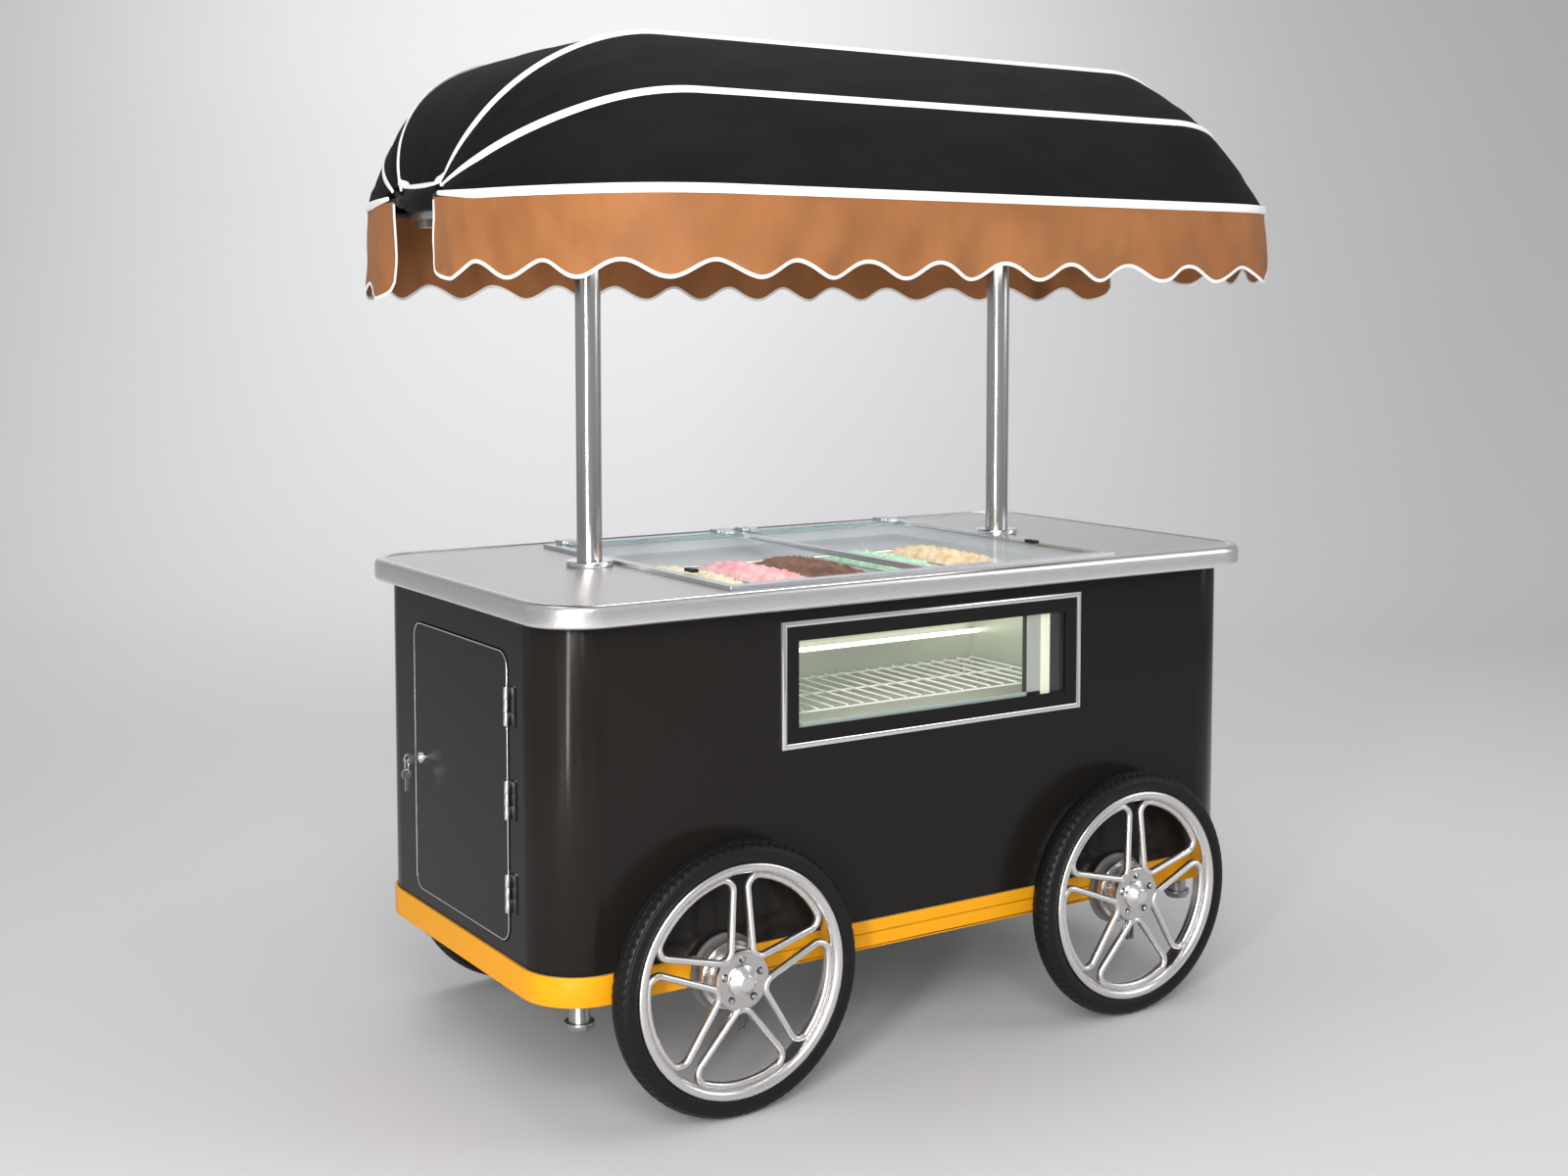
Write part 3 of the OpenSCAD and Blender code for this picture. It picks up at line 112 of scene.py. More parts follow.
def new_material(name, color, rough, metal=0.0):
    mat = bpy.data.materials.new(name)
    mat.use_nodes = True
    shader = mat.node_tree.nodes["Principled BSDF"]
    shader.inputs["Base Color"].default_value = (*color, 1.0)
    shader.inputs["Roughness"].default_value = rough
    shader.inputs["Metallic"].default_value = metal
    return mat


def shader_of(mat):
    return mat.node_tree.nodes["Principled BSDF"]


def noise(mat, scale, detail=3.0, stretch=(1.0, 1.0, 1.0)):
    nodes = mat.node_tree.nodes
    links = mat.node_tree.links
    coord = nodes.new("ShaderNodeTexCoord")
    mapping = nodes.new("ShaderNodeMapping")
    mapping.inputs["Scale"].default_value = stretch
    texture = nodes.new("ShaderNodeTexNoise")
    texture.inputs["Scale"].default_value = scale
    texture.inputs["Detail"].default_value = detail
    links.new(coord.outputs["Object"], mapping.inputs["Vector"])
    links.new(mapping.outputs["Vector"], texture.inputs["Vector"])
    return texture.outputs["Fac"]


def vary(mat, socket, fac, low, high):
    ranged = mat.node_tree.nodes.new("ShaderNodeMapRange")
    ranged.inputs["To Min"].default_value = low
    ranged.inputs["To Max"].default_value = high
    mat.node_tree.links.new(fac, ranged.inputs["Value"])
    mat.node_tree.links.new(ranged.outputs["Result"], shader_of(mat).inputs[socket])


def vary_color(mat, fac, dark, light, low=0.35, high=0.65):
    ramp = mat.node_tree.nodes.new("ShaderNodeValToRGB")
    ramp.color_ramp.elements[0].position = low
    ramp.color_ramp.elements[0].color = (*dark, 1.0)
    ramp.color_ramp.elements[1].position = high
    ramp.color_ramp.elements[1].color = (*light, 1.0)
    mat.node_tree.links.new(fac, ramp.inputs["Fac"])
    mat.node_tree.links.new(ramp.outputs["Color"], shader_of(mat).inputs["Base Color"])
    return ramp.outputs["Color"]


def bump(mat, fac, strength, distance):
    node = mat.node_tree.nodes.new("ShaderNodeBump")
    node.inputs["Strength"].default_value = strength
    node.inputs["Distance"].default_value = distance
    target = shader_of(mat).inputs["Normal"]
    if target.links:
        mat.node_tree.links.new(target.links[0].from_socket, node.inputs["Normal"])
    mat.node_tree.links.new(fac, node.inputs["Height"])
    mat.node_tree.links.new(node.outputs["Normal"], target)


def satin_black():
    mat = new_material("cabinet black", (0.0115, 0.0102, 0.0091), 0.20)
    vary(mat, "Roughness", noise(mat, 9.0), 0.185, 0.215)
    bump(mat, noise(mat, 900.0, 1.0), 0.03, 0.0003)
    shader_of(mat).inputs["Specular IOR Level"].default_value = 0.15
    return mat


def brushed(name, color, rough, stretch, grain=1.0, metal=1.0):
    mat = new_material(name, color, rough, metal)
    streaks = noise(mat, 40.0, 4.0, stretch)
    vary(mat, "Roughness", streaks, rough - 0.06, rough + 0.08)
    bump(mat, streaks, 0.05 * grain, 0.0006)
    return mat


def polished(name, color, rough):
    mat = new_material(name, color, rough, 1.0)
    vary(mat, "Roughness", noise(mat, 25.0), rough - 0.03, rough + 0.05)
    return mat


def painted(name, color, rough, shine=0.5):
    mat = new_material(name, color, rough)
    shader_of(mat).inputs["Specular IOR Level"].default_value = shine
    vary(mat, "Roughness", noise(mat, 14.0), rough - 0.05, rough + 0.05)
    bump(mat, noise(mat, 500.0, 1.0), 0.04, 0.0004)
    return mat


def woven(name, dark, light, rough, weave=0.0016, sheen=0.02, shine=0.3):
    mat = new_material(name, light, rough)
    vary_color(mat, noise(mat, 7.0, 5.0), dark, light)
    bump(mat, noise(mat, 1.0 / weave, 2.0), 0.35, 0.0006)
    shader_of(mat).inputs["Sheen Weight"].default_value = sheen
    shader_of(mat).inputs["Specular IOR Level"].default_value = shine
    return mat


def clear(name, color, share, rough=0.03):
    mat = new_material(name, color, rough, 1.0)
    shader_of(mat).inputs["Alpha"].default_value = share
    vary(mat, "Roughness", noise(mat, 12.0), rough, rough + 0.03)
    return mat


def glowing(name, color, strength):
    mat = new_material(name, color, 0.5)
    shader = shader_of(mat)
    shader.inputs["Emission Color"].default_value = (*color, 1.0)
    shader.inputs["Emission Strength"].default_value = strength
    vary(mat, "Roughness", noise(mat, 30.0), 0.45, 0.55)
    return mat


def creamy(name, dark, light):
    mat = new_material(name, light, 0.55)
    vary_color(mat, noise(mat, 46.0, 4.0, (1.0, 0.55, 1.0)), dark, light, 0.38, 0.6)
    bump(mat, noise(mat, 220.0, 4.0), 0.35, 0.0016)
    shader = shader_of(mat)
    shader.inputs["Subsurface Weight"].default_value = 0.15
    shader.inputs["Subsurface Radius"].default_value = (0.006, 0.004, 0.003)
    return mat


BLACK = satin_black()
STEEL = brushed("counter steel", (0.76, 0.745, 0.735), 0.34, (0.6, 14.0, 14.0))
# The counter edge is a lighter copy of the counter steel, with lower roughness and a weaker grain: its
# lighter colour is a painted highlight along the rounded edge
STEEL_EDGE_HIGHLIGHT = brushed("counter edge highlight", (0.84, 0.83, 0.82), 0.28, (0.5, 10.0, 12.0), 0.6)
LINER = brushed("liner steel", (0.55, 0.58, 0.51), 0.34, (0.6, 12.0, 12.0), 1.0, 0.7)
TUB = brushed("tub steel", (0.66, 0.69, 0.70), 0.36, (0.6, 10.0, 10.0), 1.0, 0.45)
PAN = polished("pan steel", (0.74, 0.75, 0.76), 0.16)
POST = brushed("post steel", (0.55, 0.54, 0.535), 0.15, (12.0, 12.0, 0.5), 0.5)
CHROME = polished("bright metal", (0.80, 0.80, 0.81), 0.13)
ALLOY = polished("wheel alloy", (0.58, 0.565, 0.555), 0.26)
ALLOY_BRIGHT = polished("wheel lip", (0.76, 0.745, 0.735), 0.27)
ALUMINIUM = brushed("trim aluminium", (0.72, 0.745, 0.765), 0.28, (0.5, 9.0, 9.0), 0.6)
FRAME_METAL = polished("canopy frame", (0.66, 0.66, 0.67), 0.3)
ORANGE = painted("band orange", (0.76, 0.325, 0.007), 0.42, 0.16)
DARK_PAINT = painted("chassis paint", (0.02, 0.02, 0.021), 0.5)
GREY_METAL = painted("brake grey", (0.11, 0.11, 0.112), 0.42)
FOOT_METAL = polished("leg steel", (0.36, 0.36, 0.37), 0.38)
GREY_PANEL = painted("floor panel", (0.2, 0.2, 0.2), 0.6)
MACHINE = painted("machine grey", (0.07, 0.07, 0.075), 0.45)
FAN = painted("fan plastic", (0.2, 0.2, 0.205), 0.5)
PLASTIC = painted("black plastic", (0.013, 0.013, 0.0135), 0.40, 0.3)
BEZEL = painted("bezel black", (0.0085, 0.0082, 0.0080), 0.42, 0.14)
WIRE = painted("white wire", (0.78, 0.79, 0.76), 0.35)
LIGHT = glowing("light tube", (1.0, 0.985, 0.86), 1.8)
GLOW_STRIP = glowing("lit edge", (0.66, 0.68, 0.54), 0.22)
LID_GLASS = clear("lid glass", (0.72, 0.86, 0.90), 0.045)
WINDOW_GLASS = clear("window glass", (0.80, 0.92, 0.90), 0.035)
GLASS_EDGE = new_material("glass edge", (0.26, 0.42, 0.44), 0.2)
SILL_EDGE = new_material("sill edge", (0.34, 0.42, 0.39), 0.2)
CLOTH = woven(
    "canopy cloth", (0.0046, 0.0046, 0.0048), (0.0068, 0.0068, 0.0070), 0.76, sheen=0.006, shine=0.09,
)
SLEEVE = woven("sleeve cloth", (0.0030, 0.0030, 0.0030), (0.0055, 0.0055, 0.0055), 0.8, shine=0.12)
TAPE = woven("white tape", (0.80, 0.795, 0.78), (0.88, 0.875, 0.86), 0.6, 0.001)
RUBBER = painted("tyre rubber", (0.0058, 0.0058, 0.0060), 0.40, 0.22)
BOLT = polished("bolt steel", (0.45, 0.45, 0.46), 0.25)
# The near-black disc round each wheel bolt is painted shade, standing in for the depth of the bolt pocket,
# which the hub doesn't have
POCKET_SHADE = painted("wheel pocket shade", (0.03, 0.03, 0.03), 0.5)
CREAMS = (
    creamy("vanilla", (0.90, 0.80, 0.56), (0.96, 0.90, 0.72)),
    creamy("strawberry", (0.90, 0.44, 0.47), (0.97, 0.64, 0.66)),
    creamy("chocolate", (0.12, 0.042, 0.018), (0.27, 0.11, 0.052)),
    creamy("mint", (0.44, 0.78, 0.52), (0.62, 0.90, 0.69)),
    creamy("caramel", (0.78, 0.55, 0.31), (0.93, 0.77, 0.52)),
)


# Mesh helpers

def add_mesh(name, verts, faces, mats, sharp=38.0, face_mats=None, turn_out=True):
    mesh = bpy.data.meshes.new(name)
    mesh.from_pydata([tuple(v) for v in verts], [], faces)
    for mat in mats if isinstance(mats, (list, tuple)) else [mats]:
        mesh.materials.append(mat)
    if face_mats:
        mesh.polygons.foreach_set("material_index", face_mats)
    obj = bpy.data.objects.new(name, mesh)
    bpy.context.scene.collection.objects.link(obj)
    soften(obj, sharp, turn_out)
    return obj


def soften(obj, sharp, turn_out=True):
    work = bmesh.new()
    work.from_mesh(obj.data)
    if turn_out:
        bmesh.ops.recalc_face_normals(work, faces=work.faces)
    limit = math.radians(sharp)
    for face in work.faces:
        face.smooth = True
    for edge in work.edges:
        edge.smooth = len(edge.link_faces) == 2 and edge.calc_face_angle(0.0) < limit
    work.to_mesh(obj.data)
    work.free()


def strip_faces(count_a, count_b, close_a=False, close_b=False):
    faces = []
    for i in range(count_a if close_a else count_a - 1):
        for j in range(count_b if close_b else count_b - 1):
            i2 = (i + 1) % count_a
            j2 = (j + 1) % count_b
            faces.append((i * count_b + j, i2 * count_b + j, i2 * count_b + j2, i * count_b + j2))
    return faces


def loft(name, loops, mats, close=False, sharp=38.0, bands=None):
    count = len(loops[0])
    verts = [p for loop in loops for p in loop]
    faces = strip_faces(len(loops), count, close, True)
    face_mats = None
    if bands:
        face_mats = [band for band in bands for _ in range(count)]
    return add_mesh(name, verts, faces, mats, sharp, face_mats)


def plan_loop(half_x, half_y, r, z, cx=0.0, cy=0.0, steps=10):
    points = []
    for sx, sy, start in ((1, 1, 0), (-1, 1, 90), (-1, -1, 180), (1, -1, 270)):
        for k in range(steps + 1):
            a = math.radians(start + 90 * k / steps)
            x = cx + sx * (half_x - r) + r * math.cos(a)
            y = cy + sy * (half_y - r) + r * math.sin(a)
            points.append((x, y, z))
    return points


def sweep(name, path, width, height, mat, closed=False, ups=None, sides=10):
    count = len(path)
    path = [Vector(p) for p in path]
    widths = width if isinstance(width, list) else [width] * count
    rings = []
    up = None
    for i in range(count):
        before = path[i - 1] if closed or i > 0 else path[i]
        after = path[(i + 1) % count] if closed or i < count - 1 else path[i]
        along = (after - before).normalized()
        if ups:
            up = Vector(ups[i])
        elif up is None:
            up = Vector((0, 0, 1)) if abs(along.z) < 0.9 else Vector((0, 1, 0))
        up = (up - along * up.dot(along)).normalized()
        side = along.cross(up)
        for k in range(sides):
            a = 2 * math.pi * k / sides
            rings.append(path[i] + side * (widths[i] / 2 * math.cos(a)) + up * (height / 2 * math.sin(a)))
    faces = strip_faces(count, sides, closed, True)
    if not closed:
        faces.append(tuple(range(sides)))
        faces.append(tuple((count - 1) * sides + k for k in range(sides)))
    return add_mesh(name, rings, faces, mat, 50.0)


def lathe(name, profile, place, mat, steps=72, sharp=38.0, closed=True):
    verts = []
    for i in range(steps):
        a = 2 * math.pi * i / steps
        for r, z in profile:
            verts.append(place(r * math.cos(a), r * math.sin(a), z))
    return add_mesh(name, verts, strip_faces(steps, len(profile), True, closed), mat, sharp)


def join(name, objs):
    base = objs[0]
    work = bmesh.new()
    mats = []
    for obj in objs:
        first = len(work.faces)
        remap = []
        for mat in obj.data.materials:
            if mat not in mats:
                mats.append(mat)
            remap.append(mats.index(mat))
        work.from_mesh(obj.data)
        work.faces.ensure_lookup_table()
        for face in work.faces[first:]:
            face.material_index = remap[face.material_index]
    mesh = bpy.data.meshes.new(name)
    work.to_mesh(mesh)
    work.free()
    for mat in mats:
        mesh.materials.append(mat)
    base.data = mesh
    base.name = name
    for obj in objs[1:]:
        bpy.data.objects.remove(obj)
    return base


# Finish on the plain solid pieces, each with the width of its edge bevel

FINISHES = (
    (BLACK, 0.0012, ("cabinet_shell", "door_panel")),
    (ORANGE, 0.0015, ("base_band",)),
    (DARK_PAINT, 0.0, ("chassis_frame", "top_bows")),
    (DARK_PAINT, 0.0, ("front_mid_bow", "front_low_bow", "back_mid_bow", "back_low_bow")),
    (GREY_PANEL, 0.0, ("floor_panel",)),
    (GREY_METAL, 0.0015, ("brake_plates",)),
    (BOLT, 0.0, ("axles",)),
    (FOOT_METAL, 0.001, ("leg_front_left", "leg_front_right", "leg_back_left", "leg_back_right")),
    (CHROME, 0.0, ("push_handle",)),
    (CHROME, 0.003, ("post_flanges",)),
    (CHROME, 0.001, ("lock_barrel",)),
    (CHROME, 0.0006, ("door_hinges", "door_knuckles", "lock_plug")),
    (CHROME, 0.0004, ("door_key",)),
    (CHROME, 0.0003, ("spare_key",)),
    (BEZEL, 0.0012, ("window_bezel",)),
    (WINDOW_GLASS, 0.0, ("window_glass",)),
    (LINER, 0.0, ("display_liner",)),
    (WIRE, 0.0, ("wire_shelf",)),
    (MACHINE, 0.002, ("condensing_unit",)),
    (FAN, 0.0, ("fan_blade",)),
    (ALUMINIUM, 0.0012, ("well_frame",)),
    (ALUMINIUM, 0.001, ("lid_hinges",)),
    (TUB, 0.0012, ("well_tub",)),
    (LID_GLASS, 0.0, ("lid_left_glass", "lid_right_glass")),
    (PLASTIC, 0.001, ("lid_left_fittings", "lid_right_fittings")),
    (POST, 0.0, ("posts",)),
    (FRAME_METAL, 0.001, ("canopy_beam",)),
    (SLEEVE, 0.006, ("hub_sleeves",)),
)
WELD_GAP = 0.00002
BEVEL_ANGLE = 40
BARREL_CLEAR = 0.0006
LID_BACK_Y = 0.2
HUB_PAINT_W = 0.026


def dress(node, mat, bevel):
    obj = NODES[node]
    obj.data.materials.clear()
    obj.data.materials.append(mat)
    for poly in obj.data.polygons:
        poly.material_index = 0
    if bevel:
        weld = obj.modifiers.new("weld", "WELD")
        weld.merge_threshold = WELD_GAP
        edge = obj.modifiers.new("edges", "BEVEL")
        edge.width = bevel
        edge.segments = 2
        edge.limit_method = "ANGLE"
        edge.angle_limit = math.radians(BEVEL_ANGLE)
        edge.harden_normals = True


def repaint(node, mat, chosen):
    obj = NODES[node]
    obj.data.materials.append(mat)
    last = len(obj.data.materials) - 1
    for poly in obj.data.polygons:
        if chosen(poly.center):
            poly.material_index = last


def paint_details():
    hinge_lo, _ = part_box("door_hinges")
    axis_x = hinge_lo.x + KNUCKLE_R

    def off_barrel(p):
        return math.hypot(p.x - axis_x, p.y - DOOR_HINGE_Y) > KNUCKLE_R + BARREL_CLEAR

    def at_back(p):
        return p.y > LID_BACK_Y

    def at_hub(p):
        return abs(p.y) > HUB_Y - HUB_PAINT_W

    repaint("door_hinges", BLACK, off_barrel)
    repaint("door_knuckles", BLACK, off_barrel)
    repaint("canopy_beam", DARK_PAINT, at_hub)
    repaint("lid_left_fittings", ALUMINIUM, at_back)
    repaint("lid_right_fittings", ALUMINIUM, at_back)


def dress_all():
    for mat, bevel, names in FINISHES:
        for node in names:
            dress(node, mat, bevel)
    paint_details()


# Canopy

# Near the hubs the cloth and its tapes draw in above their bow, so that the next bow can fold up beside it
PINCH_REACH = 0.15
PINCH_RISE = 0.0085
PINCH_SHARE = 0.62


class Bow:
    def __init__(self, reach, angle, lug_x, bend, tight_share):
        self.reach = reach
        self.angle = math.radians(angle)
        self.lug_x = lug_x
        self.bend = bend
        self.tight = tight_share * reach
        self.run = lug_x - bend
        self.wide = (bend ** 2 + reach ** 2 - 2 * reach * self.tight) / (2 * (bend - self.tight))
        self.turn = math.atan2(reach - self.tight, self.wide - bend)

    def flat(self, th):
        if th < self.turn:
            return (self.lug_x - self.wide + self.wide * math.cos(th), self.wide * math.sin(th))
        return (
            self.run + self.tight * math.cos(th),
            self.reach - self.tight + self.tight * math.sin(th),
        )

    def point(self, side, th, x_share, front):
        x, y = self.flat(th)
        x = x if x_share is None else self.run * x_share
        return Vector((
            side * x,
            front * (HUB_Y + y * math.cos(self.angle)),
            HUB_Z + y * math.sin(self.angle),
        ))

    def normal(self, side, th, front):
        return Vector((
            side * math.cos(th),
            front * math.sin(th) * math.cos(self.angle),
            math.sin(th) * math.sin(self.angle),
        ))

    def pinch(self, th, x_share):
        if x_share is not None:
            return 0.0
        return max(0.0, 1.0 - self.flat(th)[1] / PINCH_REACH)

    def edge(self, side, th, x_share, front):
        above = Vector((0, -front * math.sin(self.angle), math.cos(self.angle)))
        return self.point(side, th, x_share, front) + above * PINCH_RISE * self.pinch(th, x_share)


# Reach, angle, lug place, length of the bend, and the tight bend as a share of the reach
LOW = Bow(0.522, 0.0, 0.913, 0.320, 0.43)
MID = Bow(0.413, 25.3, 0.905, 0.328, 0.63)
TOP = Bow(0.352, 57.2, 0.897, 0.33696, 0.745)
BEND_STEPS = 44
RUN_STEPS = 36
PANEL_ROWS = 16
SKIN_SHARE = 0.8
PANEL_RIPPLE = 0.0022

# Width of each cloth panel between its bows along the straight run
TOP_PANEL_W = 0.38
UPPER_PANEL_W = 0.218
LOWER_PANEL_W = 0.232

# Tapes sewn on the bows, and where along its bend each one starts
TAPE_W = 0.017
TAPE_T = 0.0046
TAPE_GAP = 0.0006
TAPE_LIFT = SHEET_OUT + CLOTH_T + TAPE_GAP
TOP_TAPE_START = 3.4
MID_TAPE_START = 4.6
LOW_TAPE_START = 2.4
LOW_TAPE_GAP = 0.0012
LOW_TAPE_LIFT = TAPE_LIFT + LOW_TAPE_GAP
HUB_TAPE_W = 0.015
HUB_TAPE_T = 0.0044
HUB_TAPE_GAP = 0.0008
HUB_TAPE_LIFT = SHEET_OUT + CLOTH_T + HUB_TAPE_GAP
HUB_TAPE_DIP = 0.010
HUB_TAPE_RISE = 0.012
HUB_TAPE_STEPS = 28


def stations(start=BOW_START):
    found = []
    first = math.radians(start)
    for k in range(BEND_STEPS):
        th = first + (math.pi / 2 - first) * k / BEND_STEPS
        found.append((-1, th, None))
    for k in range(RUN_STEPS + 1):
        share = 1 - 2 * k / RUN_STEPS
        found.append((-1 if share > 0 else 1, math.pi / 2, abs(share)))
    for k in range(BEND_STEPS - 1, -1, -1):
        th = first + (math.pi / 2 - first) * k / BEND_STEPS
        found.append((1, th, None))
    return found


def ripple(x, y, seed):
    a = math.sin(3.1 * x + 1.7 * y + seed)
    b = math.sin(7.3 * x - 5.1 * y + 2.1 * seed)
    c = math.sin(13.7 * x + 9.2 * y + 0.6 * seed)
    return (a + 0.6 * b + 0.35 * c) / 1.95


# Lengths of the long and the short creases along a hanging cloth
CREASE_LONG = 0.155
CREASE_SHORT = 0.083


def crease(s, share, seed):
    long_turns = s / CREASE_LONG + 0.55 * share
    short_turns = s / CREASE_SHORT - 0.80 * share
    long = math.sin(2 * math.pi * long_turns + seed + 1.4 * math.sin(5.1 * s + seed))
    short = math.sin(2 * math.pi * short_turns + 2.3 * seed + 1.1 * math.sin(8.7 * s))
    patch = 0.5 + 0.5 * math.sin(3.7 * s + 2 * seed)
    return (0.35 + 0.65 * patch) * long + 0.45 * (1 - patch) * short


def cloth_panel(name, low, high, front, over, seed):
    far = -front if over else front
    verts = []
    shares = []
    for side, th, run in stations():
        pa = low.edge(side, th, run, front)
        pb = high.edge(side, th, run, far)
        na = low.normal(side, th, front)
        nb = high.normal(side, th, far)
        for j in range(PANEL_ROWS + 1):
            t = j / PANEL_ROWS
            n = ((1 - t) * na + t * nb).normalized()
            hump = 4 * t * (1 - t)
            p = (1 - t) * pa + t * pb
            reach = SHEET_OUT + CLOTH_T / 2 + BULGE * hump
            reach += PANEL_RIPPLE * hump * ripple(p.x * 2.2, t * 3.0, seed)
            verts.append(p + n * reach)
            shares.append(t)
    obj = add_mesh(name, verts, strip_faces(len(stations()), PANEL_ROWS + 1), CLOTH, 60.0)
    thicken(obj)
    return obj, shares


def thicken(obj):
    skin = obj.modifiers.new("cloth", "SOLIDIFY")
    skin.thickness = CLOTH_T * SKIN_SHARE
    skin.offset = 0.0


def sheet_area(obj):
    return sum(p.area for p in obj.data.polygons)


def set_shares(obj, shares):
    values = [s * s * (3 - 2 * s) for s in shares]


def bow_tape(name, bow, front, body, lift, start):
    path = []
    ups = []
    widths = []
    for side, th, run in stations(start):
        n = bow.normal(side, th, front)
        path.append(bow.edge(side, th, run, front) + n * lift)
        ups.append(n)
        widths.append(TAPE_W * (1 - PINCH_SHARE * bow.pinch(th, run)))
    tape = sweep(name, path, widths, TAPE_T, TAPE, False, ups, 10)
    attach(tape, body)
    return tape


def hub_tape(name, side):
    path = []
    ups = []
    th = math.radians(BOW_START)
    pa = TOP.point(side, th, None, -1)
    pb = TOP.point(side, th, None, 1)
    n = Vector((side, 0, 0.1)).normalized()
    for k in range(HUB_TAPE_STEPS + 1):
        t = k / HUB_TAPE_STEPS
        dip = HUB_TAPE_DIP * math.sin(math.pi * t) ** 0.5
        p = (1 - t) * pa + t * pb - Vector((0, 0, dip - HUB_TAPE_RISE))
        path.append(p + n * HUB_TAPE_LIFT)
        ups.append(n)
    tape = sweep(name, path, HUB_TAPE_W, HUB_TAPE_T, TAPE, False, ups, 8)
    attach(tape, "cart")
    return tape


def middle(bow, front):
    return bow.point(1, math.pi / 2, 0.0, front)


def folding_panel(word, name, low, high, front, seed):
    cloth, shares = cloth_panel("%s_%s_cloth" % (word, name), low, high, front, False, seed)
    middle(low, front)
    middle(high, front)
    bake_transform(cloth)
    set_shares(cloth, shares)
    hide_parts("%s_%s_panel" % (word, name))
    return cloth


def build_top():
    top, _ = cloth_panel("top_cloth", TOP, TOP, -1, True, 0.4)
    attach(top, "cart")
    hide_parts("top_panel")
    tapes = [hub_tape("hub_tape_left", -1), hub_tape("hub_tape_right", 1)]
    flat = (TOP_PANEL_W, sheet_area(top) / TOP_PANEL_W)


def build_side(word, front, seed, drop):
    low = word + "_low"
    mid = word + "_mid"
    upper = folding_panel(word, "upper", MID, TOP, front, seed)
    lower = folding_panel(word, "lower", LOW, MID, front, seed + 4)
    top_tape = bow_tape(word + "_top_tape", TOP, front, "cart", TAPE_LIFT, TOP_TAPE_START)
    mid_tape = bow_tape(word + "_mid_tape", MID, front, mid, TAPE_LIFT, MID_TAPE_START)
    low_tape = bow_tape(word + "_low_tape", LOW, front, low, LOW_TAPE_LIFT, LOW_TAPE_START)
    for piece, wide, tape in ((upper, UPPER_PANEL_W, top_tape), (lower, LOWER_PANEL_W, mid_tape)):
        flat = (wide, sheet_area(piece) / wide)
    build_valance(word, front, drop)


def build_canopy():
    build_top()
    build_side("front", -1, 1.3, FRONT_DROP)
    build_side("back", 1, 2.9, BACK_DROP)


def low_walk(s):
    first = math.radians(VALANCE_START)
    wide_len = LOW.wide * (LOW.turn - first)
    tight_len = LOW.tight * (math.pi / 2 - LOW.turn)
    if s < wide_len:
        return first + s / LOW.wide, None
    if s < wide_len + tight_len:
        return LOW.turn + (s - wide_len) / LOW.tight, None
    return math.pi / 2, 1 - (s - wide_len - tight_len) / LOW.run


def low_half_length():
    first = math.radians(VALANCE_START)
    return LOW.wide * (LOW.turn - first) + LOW.tight * (math.pi / 2 - LOW.turn) + LOW.run


SCALLOPS = 16
SCALLOP_H = 0.030
FOLD = 0.012
VALANCE_RIPPLE = 0.0035
CREASE = 0.0046
VALANCE_GAP = 0.0002
VALANCE_COLS = SCALLOPS * 18
VALANCE_ROWS = 18
END_STEPS = 12
END_TAPE_TOP = 0.004
HEM_TAPE_W = 0.0075
HEM_TAPE_T = 0.0042
STITCH_DOWN = 0.0135
STITCH_HALF = 0.0006
STITCH_PITCH = 0.0055
STITCH_SHARE = 0.6


def hem_drop(s_all, total, drop):
    pitch = total / SCALLOPS
    end = min(s_all, total - s_all)
    wave = (1 + math.cos(2 * math.pi * s_all / pitch)) / 2
    if end < pitch / 2:
        slope = 1 - end / (pitch / 2)
        wave = 1 - math.sqrt(max(0.0, 1 - slope ** 2))
    return drop - SCALLOP_H * wave


def valance_point(s_all, total, down, drop, front, out):
    side = -1 if s_all < total / 2 else 1
    s = s_all if side < 0 else total - s_all
    th, run = low_walk(s)
    pitch = total / SCALLOPS
    share = down / drop
    fold = FOLD * share * (1 - math.cos(2 * math.pi * (s_all + pitch / 4) / (2 * pitch))) / 2
    fold += VALANCE_RIPPLE * share * ripple(s_all * 4.0, share * 1.5, 3.0 + front)
    fold += CREASE * math.sqrt(share) * crease(s_all, share, 3.0 + front)
    p = LOW.point(side, th, run, front)
    n = LOW.normal(side, th, front)
    return p + n * (out + fold) - Vector((0, 0, down + VALANCE_GAP))


